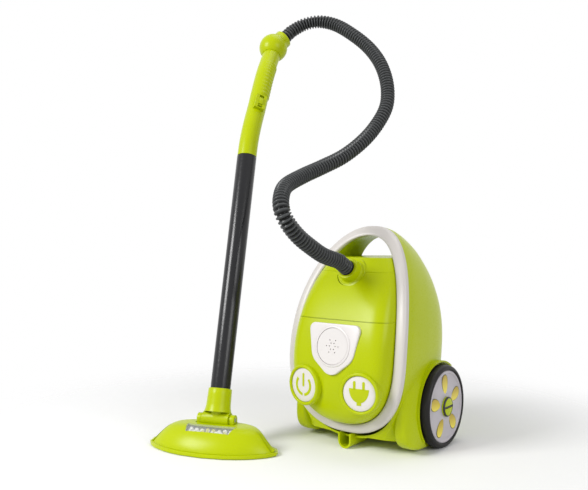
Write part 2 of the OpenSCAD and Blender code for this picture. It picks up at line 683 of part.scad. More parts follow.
module neck() color(green) at_neck() difference() {
  union() {
    translate([-barrel_l / 2, 0, 0]) along_x() cylinder(r = barrel_r, h = barrel_l, $fn = 48);
    cylinder(r = barrel_r, h = tube_foot - edge_r, $fn = 48);
    translate([0, 0, barrel_r + edge_r]) rotate_extrude($fn = 48) polygon([[0, 0], [barrel_r, 0],
      [neck_r, neck_flare], [neck_r, neck_l - barrel_r - edge_r], [0, neck_l - barrel_r - edge_r]]);
  }
  translate([0, 0, tube_foot]) cylinder(r = tube_r + fit, h = neck_l, $fn = 48);
  translate([-barrel_l, 0, 0]) along_x() cylinder(r = pin_r + run_fit, h = barrel_l * 2, $fn = 32);
}

module pivot_pin() color(steel) at_wand() translate([-barrel_l / 2 - slip - lug_t, 0, pivot_z]) along_x()
  cylinder(r = pin_r, h = barrel_l + slip * 2 + lug_t * 2, $fn = 32);

module wand_tube() color(black) at_neck() rotate_extrude($fn = 48) polygon([[tube_r - tube_wall, tube_foot + fit],
  [tube_r, tube_foot + fit], [tube_r + tube_draft, tube_top], [spigot_r, tube_top], [spigot_r, tube_top + spigot_l],
  [spigot_r - tube_wall, tube_top + spigot_l], [spigot_r - tube_wall, tube_top - tube_wall],
  [tube_r - tube_wall, tube_top - tube_wall * 4]]);

// Middle line of the handle in the plane of the lean: back and up from the neck pivot
grip_line_shares = [[0, 0], [0.05, 1], [0.2, 2], [0.46, 3.05], [0.77, 4.1], [1.14, 5.6], [1.575, 7.16],
  [2.04, 8.34], [2.5, 9.4]];
grip_unit = 20;
function bez(t) = let (n = len(grip_line_shares) - 1, q = t * n, k = min(n - 1, floor(q)), f = q - k)
  let (a = grip_line_shares[max(0, k - 1)], b = grip_line_shares[k], c = grip_line_shares[k + 1], d = grip_line_shares[min(n, k + 2)])
  (b * 2 + (c - a) * f + (a * 2 - b * 5 + c * 4 - d) * f * f + (b * 3 - a - c * 3 + d) * f * f * f) / 2 * grip_unit;
grip_n = 40;
ridge_turn = 105;
slide_turn = -52;
function grip_at(i) = bez(i / grip_n);
function grip_way(i) = i == 0 ? [0, 1] : let (d = bez(min(1, i / grip_n + 0.01)) - bez(max(0, i / grip_n - 0.01))) d / norm(d);
function grip_ridge(i) = i > 23 && i < 35 ? ridge_h * (1 - cos((i - 23) * 120)) / 2 : 0;
function grip_ring(i, r, ridge) = let (c = grip_at(i), w = grip_way(i)) [for (k = [0:15])
  let (a = 360 * k / 16, g = r + ridge * max(0, cos(a - ridge_turn)) * grip_ridge(i) / ridge_h)
  [g * sin(a), c[0] - g * cos(a) * w[1], c[1] + g * cos(a) * w[0]]];

module handle() color(green) at_neck() translate([0, 0, tube_top + fit]) difference() {
  skin(concat([for (i = [grip_n:-1:0]) grip_ring(i, grip_r, ridge_h)],
    [for (i = [0:4:grip_n - 4]) grip_ring(i, spigot_r - ridge_h, 0)]),
    [0, grip_at(grip_n)[0], grip_at(grip_n)[1]], [0, grip_at(grip_n - 4)[0], grip_at(grip_n - 4)[1]], true);
  translate([0, 0, -over]) cylinder(r = spigot_r + fit, h = spigot_l + over * 2, $fn = 48);
}

slide_i = 20;
module at_slide() at_neck() translate([0, grip_at(slide_i)[0], tube_top + fit + grip_at(slide_i)[1]])
  rotate([atan2(-grip_way(slide_i)[0], grip_way(slide_i)[1]), 0, 0]) rotate([0, 0, slide_turn]) children();
rail_half_l = (slide_l + slide_run) / 2 + slip + tray_wall;
rail_floor = grip_r + pad_proud;
rail_top = rail_floor + slide_t + slip * 2 + lip_t;

// Rail on the side of the handle: a saddle with a channel and two lips over the slide plate
module slide_rail() color(green) at_slide() difference() {
  translate([grip_r / 2, -pad_half_w, -rail_half_l]) cube([rail_top - grip_r / 2, pad_half_w * 2, rail_half_l * 2]);
  translate([0, 0, -rail_half_l - over]) cylinder(r = grip_r + slip * 2, h = (rail_half_l + over) * 2, $fn = 64);
  translate([rail_floor, -slide_w / 2 - slip, tray_wall - rail_half_l])
    cube([slide_t + slip * 2, slide_w + slip * 2, (rail_half_l - tray_wall) * 2]);
  translate([rail_floor, lip_w - slide_w / 2, tray_wall - rail_half_l])
    cube([slide_t * 4, slide_w - lip_w * 2, (rail_half_l - tray_wall) * 2]);
}

module suction_slide() color(green) at_slide() {
  translate([rail_floor + slip, -slide_w / 2, -slide_l / 2]) cube([slide_t, slide_w, slide_l]);
  translate([rail_floor + slip + slide_t / 2, lip_w + slip - slide_w / 2, -slide_l / 3])
    cube([slide_t / 2 + knob_h, slide_w - (lip_w + slip) * 2, slide_l * 2 / 3]);
}

elbow_back = 54.2;
elbow_up = 203.5;
mouth_turn = 45;
mouth_rise = 43;
elbow_y = sin(lean) * (tube_top + elbow_up) + cos(lean) * elbow_back;
elbow_z = pivot_z + cos(lean) * (tube_top + elbow_up) - sin(lean) * elbow_back;
module at_elbow() at_wand() translate([0, elbow_y, elbow_z]) children();
module at_mouth() at_elbow() rotate([0, 0, -mouth_turn]) rotate([mouth_rise - 90, 0, 0]) children();

end_gap = [0, grip_way(grip_n)[0], grip_way(grip_n)[1]] * fit;
module hose_elbow() color(green) difference() {
  union() {
    at_elbow() sphere(r = elbow_r, $fn = 48);
    at_mouth() cylinder(r = mouth_r, h = mouth_l, $fn = 48);
  }
  at_mouth() cylinder(r = hose_r + fit, h = mouth_l + over, $fn = 48);
  at_neck() translate([0, 0, tube_top + fit]) skin(concat([[for (p = grip_ring(grip_n, grip_r + fit, 0)) p + end_gap]],
    [for (i = [grip_n - 1:-1:grip_n - 16]) grip_ring(i, grip_r + fit, 0)]),
    [0, grip_at(grip_n)[0], grip_at(grip_n)[1]] + end_gap, [0, grip_at(grip_n - 16)[0], grip_at(grip_n - 16)[1]], true);
}

module plug() difference() {
  cylinder(r = hose_r, h = plug_l, $fn = 48);
  translate([0, 0, -over]) cylinder(r = hose_bore_r, h = plug_l + over * 2, $fn = 48);
}
module hose_plug_body() color(black) at_can() at_collar() translate([0, 0, collar_l - plug_l]) plug();
module hose_plug_handle() color(black) at_mouth() translate([0, 0, mouth_l - plug_l]) plug();

// Route of the hose middle line, from the elbow mouth to the collar, in canister places
mouth_dir = [cos(mouth_rise) * sin(mouth_turn - head_yaw), cos(mouth_rise) * cos(mouth_turn - head_yaw), sin(mouth_rise)];
elbow_at = [head_dx - sin(head_yaw) * elbow_y, head_dy + cos(head_yaw) * elbow_y, elbow_z];
collar_dir = [0, -cos(collar_tilt), sin(collar_tilt)];
collar_at = [0, face_y(cap_z), cap_z];
route_mid = [[-180, 115, 600], [-160, 128, 604], [-134, 135, 596], [-104, 134, 577], [-73, 131, 552], [-47, 122, 524],
  [-29, 111, 495], [-18, 98, 467], [-13, 82, 443], [-15, 58, 416], [-19, 30, 393], [-27, -2, 372], [-35, -38, 356],
  [-38, -76, 342], [-33, -114, 328], [-22, -137, 313], [-12, -148, 297], [-7, -143, 282], [-4, -127, 267], [-2, -104, 254],
  [-1, -81, 244]];
route = concat([for (k = [0, 1, 2]) elbow_at + mouth_dir * (mouth_l + hose_r * k)], route_mid,
  [for (k = [2, 1, 0]) collar_at + collar_dir * (collar_l + hose_r * k)]);
route_n = len(route) - 1;
function way(t) = let (k = min(route_n - 1, floor(t)), f = t - k)
  let (a = route[max(0, k - 1)], b = route[k], c = route[k + 1], d = route[min(route_n, k + 2)])
  (b * 2 + (c - a) * f + (a * 2 - b * 5 + c * 4 - d) * f * f + (b * 3 - a - c * 3 + d) * f * f * f) / 2;
fine_n = route_n * 8;
fine = [for (i = [0:fine_n]) way(i / 8)];
fine_len = [for (i = 0, q = 0; i <= fine_n; q = q + (i < fine_n ? norm(fine[i + 1] - fine[i]) : 0), i = i + 1) q];
hose_len = fine_len[fine_n];
function on_way(q) = lookup(q, [for (i = [0:fine_n]) [fine_len[i], i]]);
function hose_at(q) = let (u = min(fine_n - 0.001, on_way(q)), k = floor(u)) fine[k] + (fine[k + 1] - fine[k]) * (u - k);
function hose_way(q) = let (d = hose_at(min(hose_len, q + hose_r / 4)) - hose_at(max(0, q - hose_r / 4))) d / norm(d);
// Side direction carried along the route so that the rings do not twist
function carry(s, w) = let (d = s - w * (s * w)) d / norm(d);
hose_n = hose_ribs * 2;
hose_q = [for (i = [0:hose_n]) hose_len * i / hose_n];
hose_w = [for (q = hose_q) hose_way(q)];
hose_s = [for (i = 0, s = carry([1, 0, 0], hose_w[0]); i <= hose_n; i = i + 1, s = carry(s, hose_w[min(i, hose_n)])) s];
function hose_ring(i, r) = let (c = hose_at(hose_q[i]), s = hose_s[i], t = cross(hose_w[i], s)) [for (k = [0:7])
  c + (s * cos(k * 45) + t * sin(k * 45)) * r];
module hose() color(black) at_can() hoop(concat(
  [for (i = [0:hose_n]) hose_ring(i, i % 2 == 0 ? hose_root_r : hose_r)],
  [for (i = [hose_n:-5:0]) hose_ring(i, hose_bore_r)]));

// Plan outline of the floor head: bowed front, rounded ends
head_n = 36;
function head_pt(i, d, z, back) = let (a = 360 * i / head_n, c = spow(cos(a), 0.62), q = spow(sin(a), 0.62))
  let (x = (head_half_l - d) * c, mid = (head_back - head_front) / 2, half = (head_front + head_back) / 2 - d)
  let (bow = head_bow * pow(abs(c), 2) * (q < 0 ? sqrt(-q) : -0.35 * sqrt(q)))
  [x, mid + half * q + bow * max(0, 1 - d / head_front) + back, z];
function head_ring(d, z, back) = [for (i = [0:head_n - 1]) head_pt(i, d, z, back)];
n_head = 3.2;
crown_pow = 6;
crown_root = 0.55;
crown_back = 0.19;
window_keep = 0.85;
head_row_shares = [-0.998, -0.985, -0.955, -0.89, -0.79];
head_back_shares = [0.72, 0.86, 0.94, 0.98, 0.998];
head_col_shares = [-1, -0.985, -0.94, -0.86, -0.74, -0.58];
base_top = base_gap + base_t;
cover_h = head_h - base_top;
head_mid = (head_back - head_front) / 2;
function rim_pt(c, q, d) =
  let (bow = head_bow * c * c * (q < 0 ? sqrt(-q) : -0.35 * sqrt(q)))
  [(head_half_l - d) * c, head_mid + ((head_front + head_back) / 2 - d) * q + bow * max(0, 1 - d / head_front)];
function crown(c, q) =
  pow(max(0, 1 - pow(pow(abs(c), n_head) + pow(abs(q), n_head), crown_pow / n_head)), crown_root);
function cover_pt(s, v, d, h) =
  let (c = s * pow(1 - pow(abs(v), n_head), 1 / n_head), f = crown(c, v), p = rim_pt(c, v, d))
  [p[0], p[1] + head_front * crown_back * f * f, base_top + fit + h * f];
function row_at(y) = (y - head_mid) / ((head_front + head_back) / 2);
function col_at(x) = x / (head_half_l - flange_w);
window_back = head_front * crown_back * window_keep;
win_v = [row_at(window_y0 - window_back), row_at(window_y1 - window_back)];
win_s = col_at(window_half_l);
hinge_half = barrel_l / 2 + slip + lug_t;
well_y = barrel_r + well_gap;
well_v = [row_at(-well_y - window_back), row_at(well_y - window_back)];
well_s = col_at(hinge_half + well_gap);
head_rows = concat(head_row_shares, [win_v[0], (win_v[0] + win_v[1]) / 2, win_v[1], well_v[0], (well_v[0] + well_v[1]) / 2,
  well_v[1]], head_back_shares);
head_cols = concat(head_col_shares, [-win_s, -well_s, -well_s / 2, 0, well_s / 2, well_s, win_s],
  [for (k = [5:-1:0]) -head_col_shares[k]]);
function cover_grid(rows, cols, d, h) = [for (v = rows) [for (s = cols) cover_pt(s, v, d, h)]];

// A sheet with four-sided holes, each between two rows and two columns of its grid
module holed_sheet(a, b, holes) {
  r = len(a);
  c = len(a[0]);
  o = r * c;
  function in_hole(j, i) = len([for (q = holes) if (j >= q[0] && j < q[1] && i >= q[2] && i < q[3]) 1]) > 0;
  top = [for (j = [0:r - 2]) for (i = [0:c - 2]) if (!in_hole(j, i)) for (h = [0, 1])
    h == 0 ? [j * c + i, (j + 1) * c + i, j * c + i + 1]
      : [j * c + i + 1, (j + 1) * c + i, (j + 1) * c + i + 1]];
  low = [for (f = top) [o + f[2], o + f[1], o + f[0]]];
  edge = concat([for (i = [0:c - 1]) i], [for (j = [1:r - 1]) j * c + c - 1],
    [for (i = [c - 2:-1:0]) (r - 1) * c + i], [for (j = [r - 2:-1:1]) j * c]);
  loops = concat([edge], [for (q = holes) concat([for (j = [q[0]:q[1]]) j * c + q[2]],
    [for (i = [q[2] + 1:q[3]]) q[1] * c + i], [for (j = [q[1] - 1:-1:q[0]]) j * c + q[3]],
    [for (i = [q[3] - 1:-1:q[2] + 1]) q[0] * c + i])]);
  side = [for (loop = loops) let (q = len(loop)) for (i = [0:q - 1]) for (h = [0, 1])
    let (e = loop[i], f = loop[(i + 1) % q])
    h == 0 ? [e, f, o + e] : [f, o + f, o + e]];
  polyhedron(concat(flat(a), flat(b)), concat(top, low, side));
}

module head_cover() color(green) at_wand() holed_sheet(cover_grid(head_rows, head_cols, flange_w, cover_h - fit),
  cover_grid(head_rows, head_cols, flange_w + cover_wall, cover_h - fit - cover_wall), [[5, 7, 6, 12], [8, 10, 7, 11]]);

// Moulded bracket in the well of the cover: a foot on the base and two lugs that hold the pivot pin
module neck_bracket() color(green) at_wand() difference() {
  union() {
    translate([-hinge_half, -lug_r, base_top + fit]) cube([hinge_half * 2, lug_r * 2, bracket_t]);
    for (s = [-1, 1]) translate([s * (hinge_half - lug_t / 2) - lug_t / 2, 0, 0]) {
      translate([0, 0, pivot_z]) along_x() cylinder(r = lug_r, h = lug_t, $fn = 40);
      translate([0, -lug_r, base_top + fit]) cube([lug_t, lug_r * 2, pivot_z - base_top - fit]);
    }
  }
  translate([-head_half_l, 0, pivot_z]) along_x() cylinder(r = pin_r, h = head_half_l * 2, $fn = 32);
}

module window() color(clear) at_wand() {
  rows = [win_v[0] + col_at(fit) * 2, (win_v[0] + win_v[1]) / 2, win_v[1] - col_at(fit) * 2];
  cols = [for (k = [-1, -0.5, 0, 0.5, 1]) (win_s - col_at(fit)) * k];
  sheet(cover_grid(rows, cols, flange_w, cover_h - fit),
    cover_grid(rows, cols, flange_w + cover_wall, cover_h - fit - cover_wall));
}

module head_base() color(green) at_wand() difference() {
  union() {
    translate([0, 0, base_gap + edge_r]) linear_extrude(height = base_t - edge_r) polygon(head_plan(0));
    translate([0, 0, base_gap]) linear_extrude(height = edge_r * 2) polygon(head_plan(flange_w / 2));
  }
  translate([-slot_l / 2, head_mid - slot_w / 2, 0]) cube([slot_l, slot_w, base_top + over]);
}
function head_plan(d) = [for (p = head_ring(d, 0, 0)) [p[0], p[1]]];

tray_z = base_top + tray_wall;
tray_y0 = window_y0 - tray_wall * 2;
tray_y1 = window_y1 + tray_wall * 2;
module bead_tray() color(pale) at_wand() difference() {
  translate([-window_half_l, tray_y0, base_top]) cube([window_half_l * 2, tray_y1 - tray_y0, bead_r * 2]);
  translate([tray_wall - window_half_l, tray_y0 + tray_wall, tray_z])
    cube([(window_half_l - tray_wall) * 2, tray_y1 - tray_y0 - tray_wall * 2, bead_r * 2]);
}

module beads() color(yellow) at_wand() for (i = [0:7]) for (k = [0, 1])
  translate([(i - 3.5) * (bead_r * 2 + bead_gap), (tray_y0 + tray_y1) / 2 + (k - 0.5) * (bead_r * 2 + bead_gap),
    tray_z + bead_r + fit])
    sphere(r = bead_r, $fn = 16);

rear_shell();
handle_band();
front_cover();
upper_panel();
top_cap();
speaker_bezel();
sound_button();
power_button();
cord_button();
circuit_board();
switches();
speaker();
board_screws();
batteries();
battery_cover();
axle();
left_tyre();
right_tyre();
left_hub();
right_hub();
left_hub_cap();
right_hub_cap();
neck();
pivot_pin();
wand_tube();
handle();
slide_rail();
suction_slide();
hose_elbow();
hose_plug_body();
hose_plug_handle();
hose();
head_cover();
neck_bracket();
window();
head_base();
bead_tray();
beads();
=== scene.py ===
import math
import bpy
import bmesh
from mathutils import Matrix, Vector


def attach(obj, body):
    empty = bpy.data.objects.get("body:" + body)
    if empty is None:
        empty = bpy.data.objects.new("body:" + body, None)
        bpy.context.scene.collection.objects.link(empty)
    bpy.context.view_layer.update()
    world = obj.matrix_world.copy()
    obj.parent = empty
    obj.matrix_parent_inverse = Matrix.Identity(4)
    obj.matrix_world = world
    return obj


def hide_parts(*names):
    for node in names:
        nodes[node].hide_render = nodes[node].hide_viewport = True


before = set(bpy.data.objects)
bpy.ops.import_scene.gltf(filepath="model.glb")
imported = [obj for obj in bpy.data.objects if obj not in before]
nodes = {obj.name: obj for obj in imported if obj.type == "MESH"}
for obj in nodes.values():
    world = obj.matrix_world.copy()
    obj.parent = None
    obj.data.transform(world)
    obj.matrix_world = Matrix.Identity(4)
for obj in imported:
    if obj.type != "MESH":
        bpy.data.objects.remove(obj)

scene = bpy.context.scene
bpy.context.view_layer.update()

# The studio: a camera at the photograph's angle, a pale paper floor that keeps the shadow and
# fades into the white surround, and three broad lamps: a key, a fill and a weak one above.
photo_wide, photo_focal = 588, 705
eye = (0.55691, -0.73837, 0.27041)
turn, dip = math.radians(38), math.radians(0.9)
right = Vector((math.cos(turn), math.sin(turn), 0))
back = Vector((math.sin(turn) * math.cos(dip), -math.cos(turn) * math.cos(dip), math.sin(dip)))
view = bpy.data.cameras.new("photo_view")
view.sensor_width = 36
view.lens = 36 * photo_focal / photo_wide
camera = bpy.data.objects.new("photo_view", view)
camera.matrix_world = Matrix.Translation(eye) @ Matrix((right, back.cross(right), back)).transposed().to_4x4()
scene.collection.objects.link(camera)
scene.camera = camera
scene.view_settings.view_transform = "Standard"


def linear(hexa):
    parts = [int(hexa[k:k + 2], 16) / 255 for k in (1, 3, 5)]
    return [c / 12.92 if c <= 0.04045 else ((c + 0.055) / 1.055) ** 2.4 for c in parts] + [1]


def node(tree, kind, sockets=None, **settings):
    made = tree.nodes.new(kind)
    for key, value in settings.items():
        setattr(made, key, value)
    for key, value in (sockets or {}).items():
        if isinstance(value, bpy.types.NodeSocket):
            tree.links.new(value, made.inputs[key])
        else:
            made.inputs[key].default_value = value
    return made


def blank(name):
    made = bpy.data.materials.new(name)
    made.use_nodes = True
    made.node_tree.nodes.clear()
    return made, made.node_tree


# Matt paper: no gloss at all, a faint fibre, and gone to nothing where the shadow has ended.
fibre_mm, fade_from, fade_to = 1.1, 0.24, 0.6
floor_paper, tree = blank("matt_studio_paper")
place = node(tree, "ShaderNodeTexCoord").outputs["Object"]
fibre = node(tree, "ShaderNodeTexNoise", {"Vector": place, "Scale": 1000 / fibre_mm, "Detail": 2})
sheet_colour = node(tree, "ShaderNodeMix", {0: fibre.outputs["Fac"], 6: linear("#f7f7f7"), 7: linear("#fbfbfb")},
                    data_type="RGBA")
paper = node(tree, "ShaderNodeBsdfDiffuse", {"Color": sheet_colour.outputs[2]})
gone = node(tree, "ShaderNodeBsdfTransparent")
reach = node(tree, "ShaderNodeVectorMath", {0: place}, operation="LENGTH")
fade = node(tree, "ShaderNodeMapRange", {"Value": reach.outputs["Value"], "From Min": fade_from, "From Max": fade_to},
            interpolation_type="SMOOTHSTEP")
mixed = node(tree, "ShaderNodeMixShader", {0: fade.outputs[0], 1: paper.outputs[0], 2: gone.outputs[0]})
node(tree, "ShaderNodeOutputMaterial", {"Surface": mixed.outputs[0]})
bm = bmesh.new()
bmesh.ops.create_grid(bm, x_segments=4, y_segments=4, size=1.2)
floor_mesh = bpy.data.meshes.new("studio_floor")
bm.to_mesh(floor_mesh)
bm.free()
floor_mesh.materials.append(floor_paper)
floor = bpy.data.objects.new("studio_floor", floor_mesh)
scene.collection.objects.link(floor)

surround_lights, surround_shows = 0.4, 1.0
world = bpy.data.worlds.new("white_surround")
scene.world = world
world.use_nodes = True
tree = world.node_tree
tree.nodes.clear()
ray = node(tree, "ShaderNodeLightPath")
seen = node(tree, "ShaderNodeMath", {0: ray.outputs["Is Camera Ray"], 1: ray.outputs["Is Transmission Ray"]},
            operation="MAXIMUM")
seen = node(tree, "ShaderNodeMath", {0: seen.outputs[0], 1: ray.outputs["Is Glossy Ray"]}, operation="MAXIMUM")
level = node(tree, "ShaderNodeMapRange", {"Value": seen.outputs[0], "To Min": surround_lights,
                                          "To Max": surround_shows})
surround = node(tree, "ShaderNodeBackground", {"Color": (1, 1, 1, 1), "Strength": level.outputs[0]})
node(tree, "ShaderNodeOutputWorld", {"Surface": surround.outputs[0]})

for name, spot, aim, size, power in (
        ("key_lamp", (-0.6, -1.3, 1.05), (0, 0, 0.25), 0.6, 20.5),
        ("fill_lamp", (1.5, -0.35, 0.9), (0.05, 0, 0.2), 0.8, 8),
        ("top_lamp", (0.1, 0.5, 1.7), (0, 0, 0.2), 1.0, 5)):
    lamp = bpy.data.lights.new(name, "AREA")
    lamp.size = size
    lamp.energy = power
    lamp_object = bpy.data.objects.new(name, lamp)
    lamp_object.location = spot
    lamp_object.rotation_euler = (Vector(spot) - Vector(aim)).to_track_quat("Z", "Y").to_euler()
    scene.collection.objects.link(lamp_object)

# The rear shell: one deep injection moulding in lime ABS with two wheel fenders, a hand hole
# under the carrying arch, a battery bay below and a half-round skid under the nose. The
# other canister pieces snap or screw to it. Lengths here and below are in millimetres.
canister = Vector((62.14, 35.85, 0))
at_canister = Matrix.Translation(canister)
body_half_w, body_mid_z, body_up, body_down, body_depth, wall = 86, 120, 161, 100, 146, 3
rim_y, rim_lean, rim_low_z, band_w, shelf_z = -36, 46.7, 85, 14, 240
n_up, n_low = 2.2, 2.35
shell_depths = (0, 0.10, 0.25, 0.42, 0.62, 0.78, 0.90, 0.97, 1)
shell_widths = (1, 1.01, 1.01, 1.0, 0.965, 0.88, 0.72, 0.46, 0)
shell_tops = (1, 0.985, 0.94, 0.87, 0.75, 0.61, 0.45, 0.26, 0)
shell_lows = (1.075, 1.09, 1.105, 1.12, 1.10, 1.03, 0.87, 0.55, 0)
shell_tables = (shell_widths, shell_tops, shell_lows, shell_depths)
rim_way = [2 * math.pi * k / 160 for k in range(160)]
axle_y, axle_z = 45, 52
swell_w, swell_fall, swell_y, swell_z, swell_l, swell_h = 93, 30, 24, 44, 68, 62
rim_fall, rim_reach, blend = 20, 40, 22
fender_x, fender_half, fender_foot, fender_top, fender_front, fender_back = 75, 17, 3, 106.5, 77.5, 54
well_r, well_x, lip_in, lip_out, lip_x, lip_w = 54.5, 84.1, 54.8, 57, 74, 17
bay_out = (-31, 8.7, 6.5), (31, 63.3, 26.7)
bay_in = (-28, 11.7, 5.5), (28, 60.3, 26.1)
skid_r, skid_in, skid_y, skid_top, skid_l = 9.5, 7.1, 4, 19, 42


def band_y(z):
    return rim_y + rim_lean * ((z - rim_low_z) / body_up) ** 2


def rim_tilt(z):
    return math.atan(2 * rim_lean * (z - rim_low_z) / body_up ** 2)


def panel_up(inset):
    return body_up - inset * 0.93


def panel_low(inset):
    return body_down - inset * 0.87


def panel_half(v, inset):
    n = n_up if v > 0 else n_low
    return (body_half_w - inset) * (1 - abs(v) ** n) ** (1 / n)


def signed(value, power):
    return math.copysign(abs(value) ** power, value)


def outline(a, w, up, low, depth, n_top=n_up):
    n = n_top if math.sin(a) > 0 else n_low
    z = body_mid_z + signed(math.sin(a), 2 / n) * (up if math.sin(a) > 0 else low)
    return Vector((w * signed(math.cos(a), 2 / n), band_y(z) + depth, z))


def curve_point(points, t):
    k = min(len(points) - 2, int(t))
    f = t - k
    a, b, c, d = points[max(0, k - 1)], points[k], points[k + 1], points[min(len(points) - 1, k + 2)]
    return (b * 2 + (c - a) * f + (a * 2 - b * 5 + c * 4 - d) * f * f + (b * 3 - a - c * 3 + d) * f ** 3) / 2


# The shell widens softly into each fender: a smooth larger-of-two of its own flank and a low dome.
def flared(p):
    start = max(0, 1 - (p.y - band_y(p.z)) / rim_reach)
    dome = abs((p.y - swell_y) / swell_l) ** 2.3 + abs((p.z - swell_z) / swell_h) ** 2.3
    swell = swell_w - swell_fall * dome - rim_fall * start * start
    near = max(0, 1 - abs(abs(p.x) - swell) / blend)
    wide = max(abs(p.x), swell) + blend * near * near / 4
    return Vector((math.copysign(wide, p.x), p.y, p.z)) if abs(p.x) > 30 and swell > 40 else p


def shell_ring(t):
    w, up, low, depth = (curve_point(table, t) for table in shell_tables)
    return [flared(outline(a, body_half_w * w, body_up * up, body_down * low, body_depth * depth)) for a in rim_way]


def hollow_ring(t):
    w, up, low, depth = (curve_point(table, t) for table in shell_tables)
    return [outline(a, body_half_w * w - wall, min(115, body_up * up - 7.5), body_down * low - wall,
                    (body_depth - wall) * depth, 2.4) for a in rim_way]


def loft(bm, rings, hoop=False):
    row = bmesh.ops.create_circle(bm, segments=len(rings[0]), radius=1)["verts"]
    for vert, point in zip(row, rings[0]):
        vert.co = point
    first = [e for e in bm.edges if e.verts[0] in row and e.verts[1] in row]
    last = first
    for ring in rings[1:]:
        made = bmesh.ops.extrude_edge_only(bm, edges=last)["geom"]
        fresh = {g for g in made if isinstance(g, bmesh.types.BMVert)}
        row = [next(e.other_vert(v) for e in v.link_edges if e.other_vert(v) in fresh) for v in row]
        for vert, point in zip(row, ring):
            vert.co = point
        last = [e for e in made if isinstance(e, bmesh.types.BMEdge) and e.verts[0] in fresh and e.verts[1] in fresh]
    if hoop:
        bmesh.ops.bridge_loops(bm, edges=first + last)
    return first, last


def close_ends(bm, first, last, start, end):
    for edges, point in ((first, start), (last, end)):
        cap = bmesh.ops.contextual_create(bm, geom=edges)["faces"]
        middle = bmesh.ops.poke(bm, faces=cap)["verts"][0]
        middle.co = point


def held(bm):
    bmesh.ops.recalc_face_normals(bm, faces=bm.faces)
    mesh = bpy.data.meshes.new("held")
    bm.to_mesh(mesh)
    bm.free()
    made = bpy.data.objects.new("held", mesh)
    scene.collection.objects.link(made)
    return made


def carved(bm, joins=(), cuts=(), thick=0):
    base = held(bm)
    tools = [(held(tool), "UNION") for tool in joins] + [(held(tool), "DIFFERENCE") for tool in cuts]
    if thick:
        sheet = base.modifiers.new("wall", "SOLIDIFY")
        sheet.thickness, sheet.offset, sheet.use_even_offset = thick, -1, False
    for tool, how in tools:
        cut = base.modifiers.new("cut", "BOOLEAN")
        cut.object, cut.operation, cut.solver = tool, how, "EXACT"
    result = base.evaluated_get(bpy.context.evaluated_depsgraph_get())
    out = bmesh.new()
    out.from_mesh(result.to_mesh())
    result.to_mesh_clear()
    for thing in [base] + [tool for tool, how in tools]:
        bpy.data.objects.remove(thing)
    return out


def rod(r, length, place, segments=96):
    bm = bmesh.new()
    bmesh.ops.create_cone(bm, cap_ends=True, segments=segments, radius1=r, radius2=r, depth=length)
    bmesh.ops.transform(bm, matrix=place @ Matrix.Translation((0, 0, length / 2)), verts=bm.verts)
    return bm


def block(low, high):
    bm = bmesh.new()
    bmesh.ops.create_cube(bm, size=1)
    size = Vector(high) - Vector(low)
    bmesh.ops.scale(bm, vec=size, verts=bm.verts)
    bmesh.ops.translate(bm, vec=Vector(low) + size / 2, verts=bm.verts)
    return bm


def plate(points, thickness):
    bm = bmesh.new()
    face = bm.faces.new([bm.verts.new(p) for p in points])
    made = bmesh.ops.extrude_face_region(bm, geom=[face])["geom"]
    bmesh.ops.translate(bm, vec=Vector(thickness), verts=[g for g in made if isinstance(g, bmesh.types.BMVert)])
    return bm


def joined(*parts):
    whole = bmesh.new()
    for part in parts:
        mesh = bpy.data.meshes.new("part")
        part.to_mesh(mesh)
        part.free()
        whole.from_mesh(mesh)
        bpy.data.meshes.remove(mesh)
    return whole


def put(name, bm, finish, body, stands_for=(), place=Matrix(), sharp=35):
    bmesh.ops.transform(bm, matrix=Matrix.Scale(0.001, 4) @ place, verts=bm.verts)
    bmesh.ops.remove_doubles(bm, verts=bm.verts, dist=1e-6)
    bmesh.ops.recalc_face_normals(bm, faces=bm.faces)
    mesh = bpy.data.meshes.new(name)
    bm.to_mesh(mesh)
    bm.free()
    mesh.shade_smooth()
    mesh.set_sharp_from_angle(angle=math.radians(sharp))
    mesh.materials.append(finish)
    made = bpy.data.objects.new(name, mesh)
    scene.collection.objects.link(made)
    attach(made, body)
    if stands_for:
        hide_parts(*stands_for)
    return made


def fender(side):
    half_y, mid_y = (fender_front + fender_back) / 2, axle_y + (fender_back - fender_front) / 2
    half_h = (fender_top - fender_foot) / 2
    rings = []
    for j in range(1, 32):
        t = -math.cos(math.pi * j / 32)
        k, foot = (1 - abs(t) ** 2.3) ** (1 / 2.3), (1 - abs(t) ** 3.6) ** (1 / 3.6)
        ring = []
        for i in range(48):
            a = 2 * math.pi * i / 48
            low = max(0, -math.sin(a))
            g = k + (foot - k) * low ** 1.5
            ring.append(Vector((side * (fender_x + fender_half * g * signed(math.cos(a), 0.75 - 0.35 * low)),
                                mid_y + half_y * t,
                                fender_foot + half_h + half_h * g * signed(math.sin(a), 0.85 - 0.35 * low))))
        rings.append(ring)
    bm = bmesh.new()
    first, last = loft(bm, rings)
    close_ends(bm, first, last, *[(side * fender_x, mid_y + end * half_y, fender_foot + half_h) for end in (-1, 1)])
    return bm


